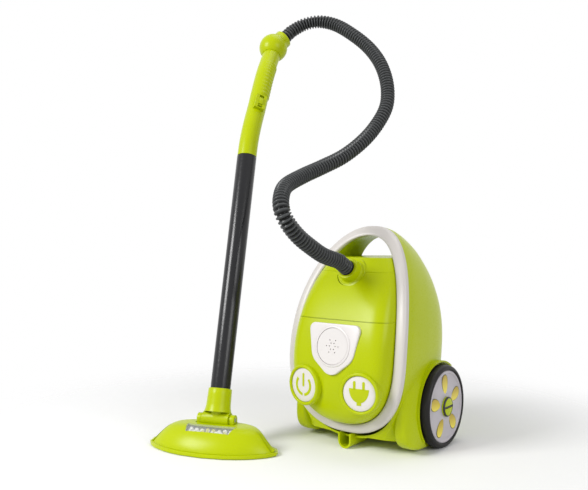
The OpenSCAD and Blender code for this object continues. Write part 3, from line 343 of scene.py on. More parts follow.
# Moulded plastic: an even colour that clouds slightly where the melt flowed, under a fine
# orange-peel skin that breaks up the edge of each highlight.
def moulded(name, colour, cloud, rough, grain_mm, peel, cloud_mm=70, ior=1.53):
    made, tree = blank(name)
    place = node(tree, "ShaderNodeTexCoord").outputs["Object"]
    flow = node(tree, "ShaderNodeTexNoise", {"Vector": place, "Scale": 1000 / cloud_mm, "Detail": 2})
    tint = node(tree, "ShaderNodeMix", {0: flow.outputs["Fac"], 6: linear(colour), 7: linear(cloud)}, data_type="RGBA")
    grain = node(tree, "ShaderNodeTexNoise", {"Vector": place, "Scale": 1000 / grain_mm, "Detail": 3})
    gloss = node(tree, "ShaderNodeMapRange", {"Value": grain.outputs["Fac"], "From Min": 0.3, "From Max": 0.7,
                                              "To Min": rough - 0.04, "To Max": rough + 0.05})
    skin = node(tree, "ShaderNodeBump", {"Height": grain.outputs["Fac"], "Strength": peel, "Distance": 0.0002})
    shader = node(tree, "ShaderNodeBsdfPrincipled", {"Base Color": tint.outputs[2], "Roughness": gloss.outputs[0],
                                                     "Normal": skin.outputs[0], "IOR": ior})
    node(tree, "ShaderNodeOutputMaterial", {"Surface": shader.outputs[0]})
    return made


# Lime ABS from a polished mould: soft broad highlights. Its IOR is below that of plain ABS, so
# that the white surround doesn't wash the deep yellow-green out.
lime_abs = moulded("gloss_lime_abs", "#bac800", "#b2c200", 0.28, 0.9, 0.02, ior=1.28)
bm = bmesh.new()
rings = [shell_ring(8 - k * 0.125) for k in range(1, 65)] + [hollow_ring(k * 0.5) for k in range(15)]
first, last = loft(bm, rings)
close_ends(bm, first, last, *[(0, band_y(body_mid_z) + depth, body_mid_z) for depth in (body_depth, body_depth - wall)])
hole_v = [1 - (1 - (shelf_z - body_mid_z) / panel_up(band_w)) * k / 24 for k in range(25)]
hole = [(panel_half(v, band_w), -200, body_mid_z + v * panel_up(band_w)) for v in hole_v]
hole += [(-x, y, z) for x, y, z in reversed(hole[1:])]
wells = [rod(well_r, 60, Matrix.Translation((s * well_x, axle_y, axle_z)) @ Matrix.Rotation(s * math.pi / 2, 4, "Y"))
         for s in (-1, 1)]
bm = carved(bm, joins=[fender(1), fender(-1), block(*bay_out)], cuts=[plate(hole, (0, 500, 0)), block(*bay_in)] + wells)
arc = [math.pi + math.pi * k / 24 for k in range(25)]
skid = [(skid_r * math.cos(a), skid_y, skid_r + skid_r * math.sin(a)) for a in arc]
skid += [(skid_r, skid_y, skid_top), (skid_in, skid_y, skid_top)]
skid += [(skid_in * math.cos(a), skid_y, skid_r + skid_in * math.sin(a)) for a in reversed(arc)]
skid += [(-skid_in, skid_y, skid_top), (-skid_r, skid_y, skid_top)]
arch = [math.radians(-42 + 167 * k / 72) for k in range(73)]
lip = [(r * math.cos(a), r * math.sin(a)) for r, way in ((lip_out, arch), (lip_in, arch[::-1])) for a in way]
lips = [plate([(side * lip_x, axle_y - y, axle_z + z) for y, z in lip], (side * lip_w, 0, 0)) for side in (-1, 1)]
put("rear_shell_moulding", joined(bm, plate(skid, (0, -skid_l, 0)), *lips), lime_abs, "body",
    ("rear_shell",), at_canister, 40)

# The carrying band: a pale satin ABS moulding that rims the shell and arches over the top as
# the handle, snapped to the shell edge and holding the front cover on its ledge.
fit, band_d = 0.15, 8
band_in = (0, 0, 0.05, 0.14, 0.30, 0.5, 0.70, 0.86, 0.95, 1)
band_out = (0, 0.55, 0.78, 0.92, 1, 1, 1, 0.92, 0.78, 0.5)
# Satin ABS from a lightly etched mould: a warm pale grey with wide, dull highlights.
pale_abs = moulded("satin_pale_grey_abs", "#d6d1cc", "#d0cbc7", 0.36, 0.9, 0.03)


def band_line(inset, depth):
    return [outline(a, body_half_w - inset, panel_up(inset), panel_low(inset), depth) for a in rim_way]


bm = bmesh.new()
loft(bm, [band_line(band_w * i, -fit - (band_d - fit) * o) for i, o in zip(band_in, band_out)] +
     [band_line(band_w, -fit), band_line(wall + fit / 2, -fit)], hoop=True)
put("carrying_band", bm, pale_abs, "body", ("handle_band",), at_canister, 50)

# The front cover: a domed lime ABS moulding with a raised ring round each button and a
# window for the sound panel, screwed to the circuit board posts from behind.
cover_in, bulge, ledge, slip = 14.3, 29, 1.2, 0.3
button_r, button_x, button_z, button_turn = 21.2, 41, 80, math.radians(8.7)
sound_z, low_v = 132, -0.999
bezel_rounds = ((29, 20, 8), (-29, 20, 8), (9, -3, 23), (-9, -3, 23), (0, -19, 16))
ring_lines = [(button_r + slip, -7), (25.6, -7), (25.6, 1.5), (25.3, 2.7), (24.6, 3.6), (23.6, 4), (22.4, 3.9),
              (21.8, 3.5), (button_r + slip, 2.8)]


def panel_fall(s, v):
    n = n_up if v > 0 else n_low
    q = abs(s) ** n * (1 - abs(v) ** n) + abs(v) ** n
    return max(0, 1 - q ** (8 / n)) ** 0.45 * (1 - 0.75 * v * v if v > 0 else 1)


def panel_v(z):
    return (z - body_mid_z) / (panel_up(cover_in) if z > body_mid_z else panel_low(cover_in))


def face_y(z):
    return band_y(z) - ledge - fit - bulge * panel_fall(0, panel_v(z))


def panel_point(s, v, b=1.0):
    z = body_mid_z + v * (panel_up(cover_in) if v > 0 else panel_low(cover_in))
    return Vector((s * panel_half(v, cover_in), band_y(z) - ledge - fit - bulge * b * panel_fall(s, v), z))


def panel(along, row, across=64):
    bm = bmesh.new()
    bmesh.ops.create_grid(bm, x_segments=across, y_segments=along, size=1)
    for vert in bm.verts:
        s, t = math.sin(math.pi / 2 * vert.co.x), (vert.co.y + 1) / 2
        vert.co = panel_point(s, *row(t))
    return bm


def at_button(side):
    return (Matrix.Translation((side * button_x, face_y(button_z), button_z))
            @ Matrix.Rotation(side * button_turn, 4, "Z") @ Matrix.Rotation(math.pi / 2, 4, "X"))


def turned(profile, place=Matrix(), steps=96):
    bm = bmesh.new()
    spots = [bm.verts.new((r, 0, z)) for r, z in profile]
    lines = [bm.edges.new(pair) for pair in zip(spots, spots[1:])]
    if profile[0][0] > 0:
        lines.append(bm.edges.new((spots[-1], spots[0])))
    bmesh.ops.spin(bm, geom=spots + lines, cent=(0, 0, 0), axis=(0, 0, 1), angle=2 * math.pi, steps=steps,
                   use_merge=True)
    bmesh.ops.remove_doubles(bm, verts=bm.verts, dist=1e-4)
    bmesh.ops.transform(bm, matrix=place, verts=bm.verts)
    return bm


def bore(r, place=Matrix()):
    return rod(r, 60, place @ Matrix.Translation((0, 0, -30)))


def convex_outline(points):
    points = sorted(set(points))
    halves = []
    for line in (points, points[::-1]):
        half = []
        for p in line:
            while len(half) > 1 and (half[-1][0] - half[-2][0]) * (p[1] - half[-2][1]) <= (
                    half[-1][1] - half[-2][1]) * (p[0] - half[-2][0]):
                half.pop()
            half.append(p)
        halves += half[:-1]
    return halves


def bezel_outline(inset):
    around = [2 * math.pi * k / 96 for k in range(96)]
    return convex_outline([(x + (r - inset) * math.cos(a), y + (r - inset) * math.sin(a))
                           for x, y, r in bezel_rounds for a in around])


def cover_row(t):
    return low_v + (panel_v(163.5) - low_v) * (1 - math.cos(math.pi / 2 * t)), 1.0


at_sound = (Matrix.Translation((0, face_y(sound_z), sound_z))
            @ Matrix.Rotation(math.pi / 2 - rim_tilt(sound_z), 4, "X"))
sound_window = plate([at_sound @ Vector((x, y, -15)) for x, y in bezel_outline(0)],
                     at_sound.to_3x3() @ Vector((0, 0, 30)))
bm = carved(panel(56, cover_row), thick=wall,
            cuts=[bore(button_r + slip, at_button(s)) for s in (-1, 1)] + [sound_window])
put("front_cover_moulding", joined(bm, *[turned(ring_lines, at_button(s)) for s in (-1, 1)]), lime_abs, "body",
    ("front_cover",), at_canister, 40)

# The upper panel: a second lime ABS moulding above the groove, left bare and cut round for the
# collar tongue. A thin strip behind each groove joins it to its neighbours, so none shows through.
collar_z, tongue_r = 222, 20.5
collar_at = Vector((0, face_y(collar_z), collar_z))
at_collar = Matrix.Translation(collar_at) @ Matrix.Rotation(math.pi / 2 - rim_tilt(collar_z), 4, "X")


def panel_rows(low_z, high_z, b=1.0):
    v0, v1 = panel_v(low_z), panel_v(high_z)
    return lambda t: (v0 + (v1 - v0) * t, b)


bm = carved(panel(28, panel_rows(164.5, 221.5)), thick=wall, cuts=[bore(tongue_r, at_collar)])
strips = [carved(panel(2, panel_rows(low, high, 0.97)), thick=2, cuts=[bore(tongue_r, at_collar)])
          for low, high in ((163.65, 165.5), (220.5, 222.35))]
put("upper_panel_moulding", joined(bm, *strips), lime_abs, "body", ("upper_panel",), at_canister, 40)

# The top cap: the lime ABS shelf under the hand hole, moulded with the round tongue and the
# collar that the hose plug snaps into, and clipped to the band.
collar_bore, collar_l = 10.15, 13
collar_lines = [(collar_bore, -3), (20, -3), (20, 0.2), (19.6, 0.6), (16, 0.8), (14.9, 1.6), (14.5, 3), (14.5, 11.6),
                (14.1, 12.6), (13.2, collar_l), (11, collar_l), (collar_bore, 12.4)]
cap_v, shelf_v, front_share = panel_v(222.5), panel_v(shelf_z), 0.45


def cap_row(t):
    if t < front_share:
        return cap_v + (shelf_v - cap_v) * t / front_share, 1.0
    return shelf_v, 1 - (t - front_share) / 0.55


bm = carved(panel(40, cap_row), thick=wall, cuts=[bore(collar_bore, at_collar)])
put("top_cap_moulding", joined(bm, turned(collar_lines, at_collar)), lime_abs, "body", ("top_cap",),
    at_canister, 40)

# The sound panel: a white three-cornered ABS plate let into the cover, with a raised round
# seat for the press disc whose small holes let the speaker through.
seat_lines = [(0, -1.4), (25.6, -1.4), (25.6, 2.3), (25.2, 2.9), (24.5, 3.2), (0, 3.2)]
# Satin white ABS: close to white, and dull enough that its edges show by shade alone.
white_abs = moulded("satin_white_abs", "#e6e1df", "#e0dcda", 0.34, 0.9, 0.03)


def softened(bm, width, segments=3, angle=50):
    edges = [e for e in bm.edges if e.is_manifold and e.calc_face_angle(0) > math.radians(angle)]
    bmesh.ops.bevel(bm, geom=edges, offset=width, offset_type="OFFSET", affect="EDGES", segments=segments, profile=0.5,
                    material=-1, clamp_overlap=True)
    return bm


def coat(name, finish):
    nodes[name].data.materials.clear()
    nodes[name].data.materials.append(finish)


bm = carved(softened(plate([(x, y, -4) for x, y in bezel_outline(fit)], (0, 0, 6)), 1.1),
            joins=[turned(seat_lines)], cuts=[bore(22.9)])
put("sound_panel_plate", bm, white_abs, "body", ("speaker_bezel",), at_canister @ at_sound, 40)
coat("sound_button", white_abs)

# The two round buttons: white ABS press discs in the raised rings, one with a power sign and
# one with a plug sign let in as lime inlays, each on a stem over its switch.
button_lines = [(0, -20), (3.6, -20), (3.6, -9), (22.4, -9), (22.4, -7.4), (button_r, -7.4), (button_r, 1.3),
                (20.9, 1.8), (20.3, 2.1), (12, 2.35), (0, 2.45)]
sign_low, sign_h, stroke_half, arc_in, arc_out = 1.9, 0.85, 1.7, 10.2, 13.7
# Lime inlay moulded in with the disc: the shell's colour, a shade warmer and less glossy.
lime_inlay = moulded("gloss_lime_inlay", "#bfcb00", "#b5c400", 0.32, 2.0, 0.02, ior=1.32)


def arc_bar(start, end):
    bm = bmesh.new()
    high = sign_low + sign_h
    corners = [bm.verts.new((r, 0, z)) for r, z in ((arc_in, sign_low), (arc_out, sign_low), (arc_out, high),
                                                    (arc_in, high))]
    face = bm.faces.new(corners)
    bmesh.ops.rotate(bm, cent=(0, 0, 0), matrix=Matrix.Rotation(math.radians(start), 3, "Z"), verts=corners)
    bmesh.ops.spin(bm, geom=[face], cent=(0, 0, 0), axis=(0, 0, 1), angle=math.radians(end - start), steps=36)
    return bm


def rounded_bar(x, low, high):
    half, up = stroke_half, [math.pi * k / 12 for k in range(13)]
    points = [(x + half * math.cos(a), high - half + half * math.sin(a), sign_low) for a in up]
    points += [(x - half * math.cos(a), low + half - half * math.sin(a), sign_low) for a in up]
    return plate(points, (0, 0, sign_h))


power_sign = joined(arc_bar(138, 262), arc_bar(278, 402), rounded_bar(0, -2, 15.2))
cup = [(13 * math.cos(a), max(6 + 17 * math.sin(a), -10.6), sign_low)
       for a in (math.pi + math.pi * k / 32 for k in range(33))]
lead = [(x, y, sign_low) for x, y in ((-3, -14), (3, -14), (3, -10), (-3, -10))]
plug_sign = joined(plate(cup, (0, 0, sign_h)), rounded_bar(-6, 4.5, 15), rounded_bar(6, 4.5, 15),
                   plate(lead, (0, 0, sign_h)))
for name, side, sign in (("power", -1, power_sign), ("cord", 1, plug_sign)):
    seat = at_canister @ at_button(side)
    put(name + "_button_disc", turned(button_lines), white_abs, name, (name + "_button",), seat, 40)
    put(name + "_button_sign", softened(sign, 0.2, 2), lime_inlay, name, (), seat, 40)


# The inner works: a phenolic board with two tact switches and a paper-cone speaker on
# the cover posts, held by three steel screws, and three cells in the bay under a ribbed cover.
# The steel axle and pivot pin are cut from drawn rod.
def metal(name, colour, rough, grain_mm):
    made, tree = blank(name)
    place = node(tree, "ShaderNodeTexCoord").outputs["Object"]
    lines = node(tree, "ShaderNodeMapping", {"Vector": place, "Scale": [1000 / size for size in grain_mm]})
    wear = node(tree, "ShaderNodeTexNoise", {"Vector": lines.outputs[0], "Scale": 1, "Detail": 3})
    gloss = node(tree, "ShaderNodeMapRange", {"Value": wear.outputs["Fac"], "To Min": rough - 0.1,
                                              "To Max": rough + 0.12})
    shader = node(tree, "ShaderNodeBsdfPrincipled", {"Base Color": linear(colour), "Metallic": 1.0,
                                                     "Roughness": gloss.outputs[0]})
    node(tree, "ShaderNodeOutputMaterial", {"Surface": shader.outputs[0]})
    return made


# Drawn rod shows faint lines along its length, zinc plate an even dull shine; board, cone, film
# and switch bodies are plain dull surfaces in their usual colours.
drawn_steel = metal("drawn_steel_rod", "#b9babd", 0.32, (17, 1.1, 1.1))
zinc_steel = metal("zinc_plated_steel", "#aeb0b4", 0.38, (1.4, 1.4, 1.4))
black_abs = moulded("matt_black_abs", "#1d1d1e", "#242425", 0.5, 1.2, 0.1)
inside = {"circuit_board": moulded("green_phenolic_board", "#1f5a37", "#174a2b", 0.45, 0.8, 0.1),
          "switches": black_abs,
          "speaker": moulded("black_paper_cone", "#202020", "#2a2a2a", 0.75, 0.7, 0.3),
          "board_screws": zinc_steel,
          "batteries": moulded("shrink_film_jacket", "#c9a227", "#b98f1c", 0.35, 2.0, 0.05),
          "battery_cover": lime_abs, "axle": drawn_steel, "pivot_pin": drawn_steel}
for name, finish in inside.items():
    coat(name, finish)

# The wheels: soft black PVC tyres pressed on pale ABS hub discs that turn on the steel axle, five yellow petals on each
# disc with painted shade up each petal and a painted olive shadow round its edge, and a lime cap over the axle end with
# a black ring round it and a black bar of painted shade in its slot.
wheel_x, petal_mid, petal_half_l, petal_half_w, print_low = 85, 28.4, 11.8, 8.9, 13
tyre_lines = [(45.4, 0.3), (46, 0), (48, 0), (50, 0.7), (51.3, 2), (51.9, 3.4), (52, 5), (52, 10.6), (51.8, 12.2),
              (51.1, 13.8), (49.9, 15), (48.4, 15.6), (47, 15.6), (46.2, 15.2), (45.4, 14)]
hub_lines = [(3.05, 0), (10, 0), (10, 8), (42.4, 8), (42.4, 0), (45.2, 0), (45.2, 14), (44.2, 14.9), (43, 15.1),
             (41.9, 14.6), (41.2, 13.4), (40.6, 13.05), (25, 13.5), (9.6, 14), (9.3, 13.7), (9.3, 11), (3.05, 11)]
cap_lines = [(0, 15.3), (3.05, 15.3), (3.05, 11.2), (9, 11.2), (9, 14.2), (12.4, 14.2), (12.4, 16.6), (12.1, 17.3),
             (11.3, 17.8), (6, 18.1), (0, 18.2)]
cap_ring_lines = [(10.8, 17.4), (12.55, 15.9), (12.55, 16.7), (12.2, 17.42), (11.4, 17.95), (10.8, 18)]
# Soft PVC drinks the light and keeps only a dull sheen; the hub is a cool satin grey.
tyre_pvc = moulded("satin_black_tyre_pvc", "#0f0d0d", "#141212", 0.46, 2.5, 0.05, 40, 1.35)
hub_abs = moulded("satin_grey_hub_abs", "#bfbac0", "#b7b2b8", 0.34, 0.9, 0.03)
# Olive for the painted shadow round the edge of each recessed petal.
olive_edge_shadow = moulded("olive_petal_edge_shadow", "#5c5a1e", "#4c4a18", 0.4, 0.8, 0.04)
# Black for the ring round the cap and for the painted shade in the bottom of its slot.
black_ring_and_slot_shade = moulded("black_hub_ring_and_slot_shade", "#171713", "#1f1f1a", 0.4, 0.8, 0.04)
# Yellow pad print with painted shade, light to ochre up each flat petal by height, standing in for the shade of a
# dished recess.
petal_yellow, tree = blank("yellow_hub_print")
shade = node(tree, "ShaderNodeAttribute", attribute_name="dish_shade")
place = node(tree, "ShaderNodeTexCoord").outputs["Object"]
speck_mm = 1.1
speck = node(tree, "ShaderNodeTexNoise", {"Vector": place, "Scale": 1000 / speck_mm, "Detail": 2})
tone = node(tree, "ShaderNodeMix", {0: shade.outputs["Fac"], 6: linear("#f5e34e"), 7: linear("#b39600")},
            data_type="RGBA")
gloss = node(tree, "ShaderNodeMapRange", {"Value": speck.outputs["Fac"], "To Min": 0.26, "To Max": 0.4})
shader = node(tree, "ShaderNodeBsdfPrincipled", {"Base Color": tone.outputs[2], "Roughness": gloss.outputs[0]})
node(tree, "ShaderNodeOutputMaterial", {"Surface": shader.outputs[0]})


def petal(angle, grow, thickness):
    points = []
    for k in range(48):
        a = 2 * math.pi * k / 48
        r = petal_mid + (petal_half_l + grow) * math.cos(a)
        w = (petal_half_w + grow) * math.sin(a) * (0.80 + 0.2 * math.cos(a))
        points.append(Matrix.Rotation(angle, 3, "Z") @ Vector((r, w, print_low)))
    return plate(points, (0, 0, thickness))


for side, name in ((-1, "left"), (1, "right")):
    seat = (at_canister @ Matrix.Translation((side * wheel_x, axle_y, axle_z))
            @ Matrix.Rotation(side * math.pi / 2, 4, "Y"))
    wheel = name + "_wheel"
    put(name + "_tyre_ring", turned(tyre_lines, steps=128), tyre_pvc, wheel, (name + "_tyre",), seat, 50)
    put(name + "_hub_disc", turned(hub_lines, steps=128), hub_abs, wheel, (name + "_hub",), seat, 40)
    cap = carved(turned(cap_lines, steps=64), cuts=[block((-1.65, -14, 17), (1.65, 14, 20))])
    put(name + "_hub_cap_disc", cap, lime_abs, wheel, (name + "_hub_cap",), seat, 40)
    # A black ring round the cap's edge, and a black bar of painted shade in the bottom of the slot.
    mark = joined(turned(cap_ring_lines, steps=64), block((-1.6, -11, 16.8), (1.6, 11, 17.3)))
    put(name + "_hub_cap_ring_and_slot_shade", mark, black_ring_and_slot_shade, wheel, (), seat, 40)
    angles = [math.radians(31 + 72 * k) * -side + (math.pi if side < 0 else 0) for k in range(5)]
    # A slightly larger olive plate under each petal: painted shadow at the rim of its recess.
    edges = joined(*[petal(a, 0.8, 0.62) for a in angles])
    put(name + "_hub_petal_edge_shadow", edges, olive_edge_shadow, wheel, (), seat, 40)
    petals = put(name + "_hub_petals", joined(*[petal(a, 0, 0.78) for a in angles]), petal_yellow, wheel,
                 (), seat, 40)
    # Painted shade for each petal: 0 low down (light yellow), 1 high up (ochre).
    dish_shade = petals.data.attributes.new("dish_shade", "FLOAT", "POINT")
    middles = [Vector((math.cos(a), math.sin(a), 0)) * petal_mid + Vector((0, 0, print_low)) for a in angles]
    for k, vert in enumerate(petals.data.vertices):
        local = seat.inverted() @ (vert.co * 1000)
        near = min(middles, key=lambda m: (m.xy - local.xy).length)
        dish_shade.data[k].value = min(1, max(0, 0.5 + (seat.to_3x3() @ (local - near)).z / 15))

# The wand: a lime ABS neck with a skirt that rocks on the head, a smooth dark tube pushed into
# its socket, and a curved lime handle with finger ridges, a round elbow and a small suction slide.
head_dx, head_dy, head_yaw, lean = -132.9, -130.1, math.radians(20), math.radians(16.7)
pivot_z, tube_top = 35, 359
at_wand = Matrix.Translation(canister + Vector((head_dx, head_dy, 0))) @ Matrix.Rotation(head_yaw, 4, "Z")
at_neck = at_wand @ Matrix.Translation((0, 0, pivot_z)) @ Matrix.Rotation(-lean, 4, "X")
tube_lines = [(10.9, 18.2), (12.9, 18.2), (13.6, 357.6), (13.3, 358.7), (12.6, tube_top), (10.4, tube_top),
              (10.4, 381), (8.4, 381), (8.4, 357), (10.9, 351)]
skirt_lines = [(13.1, 38), (14.6, 38), (15.1, 37.4), (15.3, 30), (15.6, 18), (16.2, 13), (17.3, 9.4), (17.5, 8.4),
               (16.6, 8.4), (14.9, 12), (13.1, 18.5)]
grip_line = [Vector(p) * 20 for p in ((0, 0), (0.05, 1), (0.2, 2), (0.46, 3.05), (0.77, 4.1), (1.14, 5.6),
                                      (1.575, 7.16), (2.04, 8.34), (2.5, 9.4))]
grip_r, grip_bore, grip_sides, ridge_h, ridge_from, ridge_to = 13.4, 9, 32, 1.4, 23, 34
ridge_turn = math.radians(105)
# Dark grey ABS from a polished tube mould: near black, with one long clear highlight.
tube_abs = moulded("gloss_dark_grey_abs", "#151518", "#1a1a1d", 0.22, 4.0, 0.01, 50, 1.4)
put("wand_tube_sleeve", turned(tube_lines), tube_abs, "body", ("wand_tube",), at_neck, 40)
outer, inner = [], []
for i in range(161):
    t = i / 4
    c = curve_point(grip_line, t / 5)
    way = (curve_point(grip_line, min(8, t / 5 + 0.08)) - curve_point(grip_line, max(0, t / 5 - 0.08))).normalized()
    way = Vector((0, 1)) if i == 0 else way
    on_ridges = ridge_from < t < ridge_to
    ridge = ridge_h * (1 - math.cos(math.radians((t - ridge_from) * 360))) / 2 if on_ridges else 0
    for r, rise, store in ((grip_r, ridge, outer), (grip_bore, 0, inner)):
        line = []
        for k in range(grip_sides):
            a = 2 * math.pi * k / grip_sides
            g = r + rise * max(0, math.cos(a - ridge_turn))
            line.append(Vector((g * math.sin(a), c.x - g * math.cos(a) * way.y, c.y + g * math.cos(a) * way.x)))
        store.append(line)
bm = bmesh.new()
first, last = loft(bm, outer[::-1] + inner[:146:8])
close_ends(bm, first, last, (0, grip_line[-1].x, grip_line[-1].y), sum(inner[144], Vector()) / grip_sides)
put("grip_handle", bm, lime_abs, "body", ("handle",),
    at_neck @ Matrix.Translation((0, 0, tube_top + fit)), 60)


def copied(name, width=0.0, angle=35):
    bm = bmesh.new()
    bm.from_mesh(nodes[name].data)
    bmesh.ops.transform(bm, matrix=Matrix.Scale(1000, 4), verts=bm.verts)
    bmesh.ops.remove_doubles(bm, verts=bm.verts, dist=1e-3)
    bmesh.ops.dissolve_limit(bm, angle_limit=math.radians(1), verts=bm.verts, edges=bm.edges)
    return softened(bm, width, 3, angle) if width else bm


put("neck_skirt", turned(skirt_lines, at_neck), lime_abs, "body", (), Matrix(), 40)
for name, width, body in (("neck", 0, "body"), ("hose_elbow", 0, "body"), ("slide_rail", 0, "body"),
                          ("suction_slide", 0.25, "slide"), ("neck_bracket", 0.8, "head")):
    put(name + "_moulding", copied(name, width), lime_abs, body, (name,), Matrix(), 40)

# The floor head: a lime ABS base plate with a flange and a domed lime cover snapped over it,
# with a clear window that shows loose beads in a grey tray.
head_half_l, head_front, flange, head_mid, head_half_d, base_top, cover_h = 86, 52, 4, -17, 35, 5.1, 25.75
corner, bow, crown_back, crown_edge, rim_v = 3.2, 20, 0.19, 0.3, 0.99995
win_edge, win_low, well_half, well_low, well_high = 0.4, -0.5, 0.325, 0.125, 0.4584
bead_r, bead_drop, bead_step, tray_z = 2.9, 6.2, 5.6, 9.5


def rim_point(c, q, inset):
    bend = bow * c * c * (math.sqrt(-q) if q < 0 else -0.35 * math.sqrt(q))
    return (head_half_l - inset) * c, head_mid + (head_half_d - inset) * q + bend * max(0, 1 - inset / head_front)


def cover_point(s, v):
    c = s * (1 - abs(v) ** corner) ** (1 / corner)
    slope = max(0, 1 - (abs(c) ** corner + abs(v) ** corner) ** (1 / corner)) / crown_edge
    crown = slope / (1 + slope ** 5) ** 0.2
    x, y = rim_point(c, v, flange)
    return Vector((x, y + head_front * crown_back * crown * crown, base_top + fit + cover_h * crown))


def head_row(y):
    return (y - head_front * crown_back * 0.85 - head_mid) / head_half_d


win_v0, win_v1, win_s = head_row(-34), head_row(-19), 33 / (head_half_l - flange)


# One grid makes cover and window: its middle cells are the window, and the rows near them follow its edge.
def cover_spot(x, y, gap=0.0):
    s = x / win_edge * (win_s - gap) if abs(x) <= win_edge + 0.001 else math.copysign(
        win_s + (1 - win_s) * math.sin(math.pi / 2 * (abs(x) - win_edge) / (1 - win_edge)), x)
    if y < win_low - 0.001:
        v = -rim_v + (win_v0 + rim_v) * (1 - math.cos(math.pi / 2 * (y + 1) / (1 + win_low)))
    elif y < 0.001:
        v = (win_v0 + win_v1) / 2 + (win_v1 - win_v0 - gap * 4) * (y - win_low / 2) / -win_low
    else:
        v = win_v1 + (rim_v - win_v1) * math.sin(math.pi / 2 * y)
    return cover_point(s, v)


def cover_skin(keep_window, gap=0.0):
    bm = bmesh.new()
    bmesh.ops.create_grid(bm, x_segments=80, y_segments=48, size=1)
    middles = [(f, *f.calc_center_median().xy) for f in bm.faces]
    extra = [f for f, x, y in middles if (abs(x) < win_edge and win_low < y < 0) != keep_window
             or abs(x) < well_half and well_low < y < well_high]
    bmesh.ops.delete(bm, geom=extra, context="FACES")
    for vert in bm.verts:
        vert.co = cover_spot(vert.co.x, vert.co.y, gap)
    return bm


put("head_cover_moulding", carved(cover_skin(False), thick=2.4), lime_abs,
    "head", ("head_cover",), at_wand, 45)
put("head_base_plate", copied("head_base", 0.6, 60), lime_abs, "head", ("head_base",), Matrix(), 40)
# Clear polystyrene: seen through almost wholly, with a sharp glint and a little haze from handling.
haze_mm = 3.3
clear_ps, tree = blank("clear_polystyrene")
place = node(tree, "ShaderNodeTexCoord").outputs["Object"]
haze = node(tree, "ShaderNodeTexNoise", {"Vector": place, "Scale": 1000 / haze_mm, "Detail": 2})
gloss = node(tree, "ShaderNodeMapRange", {"Value": haze.outputs["Fac"], "To Min": 0.02, "To Max": 0.12})
shader = node(tree, "ShaderNodeBsdfPrincipled", {"Base Color": linear("#e9eeec"), "Roughness": gloss.outputs[0],
                                                 "Alpha": 0.2, "IOR": 1.59})
node(tree, "ShaderNodeOutputMaterial", {"Surface": shader.outputs[0]})
put("bead_window", carved(cover_skin(True, 0.0018), thick=2.2), clear_ps, "head", ("window",),
    at_wand, 45)
# Polystyrene beads straight from the bag: glossy, most of them white and some yellow.
cell_mm, white_share = 7, 0.6
bead_mix, tree = blank("gloss_bead_polystyrene")
place = node(tree, "ShaderNodeTexCoord").outputs["Object"]
cell = node(tree, "ShaderNodeTexVoronoi", {"Vector": place, "Scale": 1000 / cell_mm, "Randomness": 1.0})
pick = node(tree, "ShaderNodeSeparateColor", {"Color": cell.outputs["Color"]})
step = node(tree, "ShaderNodeMath", {0: pick.outputs[0], 1: white_share}, operation="GREATER_THAN")
tone = node(tree, "ShaderNodeMix", {0: step.outputs[0], 6: linear("#f3f1ee"), 7: linear("#d8d02a")}, data_type="RGBA")
shader = node(tree, "ShaderNodeBsdfPrincipled", {"Base Color": tone.outputs[2], "Roughness": 0.2})
node(tree, "ShaderNodeOutputMaterial", {"Surface": shader.outputs[0]})
heap = []
for row, count, sink in ((0.2, 9, 0), (0.5, 10, 1.5), (0.8, 8, 0)):
    for k in range(count):
        top = cover_point(win_s * 0.95 * (2 * (k + 0.5) / count - 1), win_v0 + (win_v1 - win_v0) * row)
        for layer in range(3):
            spot = top - Vector((0, 0, bead_drop + sink + bead_step * layer + 0.5 * ((k * 7 + layer * 3) % 3)))
            if spot.z > tray_z:
                ball = bmesh.new()
                bmesh.ops.create_icosphere(ball, subdivisions=3, radius=bead_r)
                bmesh.ops.translate(ball, vec=spot, verts=ball.verts)
                heap.append(ball)
put("loose_beads", joined(*heap), bead_mix, "head", (), at_wand, 60)
coat("beads", bead_mix)
coat("bead_tray", moulded("grey_tray_abs", "#5c5e5a", "#666864", 0.4, 1.0, 0.05))

# The hose: a blow-moulded PVC bellows tube in black, pushed over a black ABS plug at each end.
# It leaves the collar on the canister, hangs forward in a loop and climbs to the handle elbow.
hose_r, hose_root_r, hose_ribs, hose_sides, mouth_l = 10, 7.3, 150, 20, 24
rib_steps = (0, 0.12, 0.86, 1, 0.86, 0.12)
elbow_up, elbow_out = tube_top + 203.5, 54.2
elbow_y = math.sin(lean) * elbow_up + math.cos(lean) * elbow_out
elbow_z = pivot_z + math.cos(lean) * elbow_up - math.sin(lean) * elbow_out
elbow_at = Vector((head_dx - math.sin(head_yaw) * elbow_y, head_dy + math.cos(head_yaw) * elbow_y, elbow_z))
mouth_turn, mouth_rise = math.radians(45), math.radians(43)
mouth_way = Vector((math.cos(mouth_rise) * math.sin(mouth_turn - head_yaw),
                    math.cos(mouth_rise) * math.cos(mouth_turn - head_yaw), math.sin(mouth_rise)))
collar_way = Vector((0, -math.cos(rim_tilt(collar_z)), math.sin(rim_tilt(collar_z))))
loop = [(-180, 115, 600), (-160, 128, 604), (-134, 135, 596), (-104, 134, 577), (-73, 131, 552), (-47, 122, 524),
        (-29, 111, 495), (-18, 98, 467), (-13, 82, 443), (-15, 58, 416), (-19, 30, 393), (-27, -2, 372),
        (-35, -38, 356), (-38, -76, 342), (-33, -114, 328), (-22, -137, 313), (-12, -148, 297), (-7, -143, 282),
        (-4, -127, 267), (-2, -104, 254), (-1, -81, 244)]
route = [elbow_at + mouth_way * (mouth_l + hose_r * k) for k in (0, 1, 2)] + [Vector(p) for p in loop] + [
    collar_at + collar_way * (collar_l + hose_r * k) for k in (2, 1, 0)]
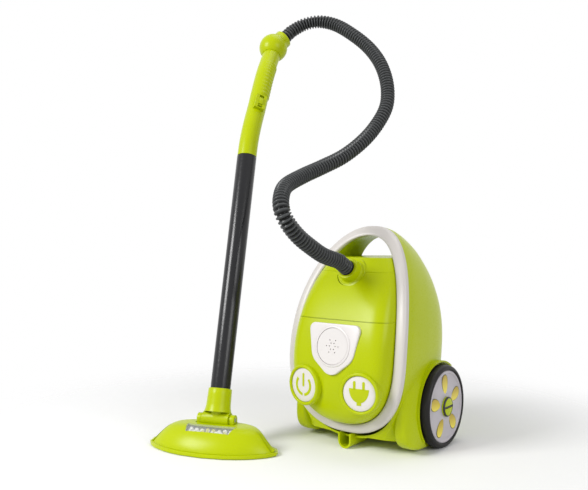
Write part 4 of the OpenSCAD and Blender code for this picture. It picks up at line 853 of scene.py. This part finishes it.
# Satin black PVC: its dark grey on the crests of the ribs, and painted shade near black in the folds, where no light
# reaches.
bloom_mm = 25
hose_pvc, tree = blank("satin_black_pvc")
crest = node(tree, "ShaderNodeAttribute", attribute_name="fold_shade_mask")
place = node(tree, "ShaderNodeTexCoord").outputs["Object"]
bloom = node(tree, "ShaderNodeTexNoise", {"Vector": place, "Scale": 1000 / bloom_mm, "Detail": 2})
tone = node(tree, "ShaderNodeMix", {0: bloom.outputs["Fac"], 6: linear("#4b4d4e"), 7: linear("#545657")},
            data_type="RGBA")
fold_shaded = node(tree, "ShaderNodeMix", {0: crest.outputs["Fac"], 6: linear("#030303"), 7: tone.outputs[2]},
              data_type="RGBA")
gloss = node(tree, "ShaderNodeMapRange", {"Value": bloom.outputs["Fac"], "To Min": 0.16, "To Max": 0.26})
shader = node(tree, "ShaderNodeBsdfPrincipled", {"Base Color": fold_shaded.outputs[2], "Roughness": gloss.outputs[0],
                                                 "IOR": 1.25})
node(tree, "ShaderNodeOutputMaterial", {"Surface": shader.outputs[0]})


def even_points(points, count, fine=24):
    dense = [curve_point(points, k / fine) for k in range((len(points) - 1) * fine + 1)]
    far = [0]
    for p, q in zip(dense, dense[1:]):
        far.append(far[-1] + (q - p).length)
    out, k = [], 0
    for i in range(count):
        want = far[-1] * i / (count - 1)
        while k < len(far) - 2 and far[k + 1] < want:
            k += 1
        out.append(dense[k].lerp(dense[k + 1], (want - far[k]) / (far[k + 1] - far[k])))
    return out, far[-1]


centres, hose_length = even_points(route, hose_ribs * len(rib_steps) + 1)
rings, side = [], Vector((1, 0, 0))
for i, centre in enumerate(centres):
    way = (centres[min(i + 2, len(centres) - 1)] - centres[max(i - 2, 0)]).normalized()
    side = (side - way * side.dot(way)).normalized()
    over = way.cross(side)
    r = hose_root_r + (hose_r - hose_root_r) * rib_steps[i % len(rib_steps)]
    rings.append([centre + (side * math.cos(a) + over * math.sin(a)) * r
                  for a in (2 * math.pi * k / hose_sides for k in range(hose_sides))])
bm = bmesh.new()
loft(bm, rings)
hose = put("ribbed_hose", bm, hose_pvc, "body", ("hose",), at_canister, 70)
# Painted shade mask: 0 in the folds between ribs, where the colour goes near black, and 1 on the crests.
fold_shade_mask = hose.data.attributes.new("fold_shade_mask", "FLOAT", "POINT")
for k, vert in enumerate(hose.data.vertices):
    fold_shade_mask.data[k].value = rib_steps[k // hose_sides % len(rib_steps)]
for name in ("hose_plug_body", "hose_plug_handle"):
    coat(name, black_abs)
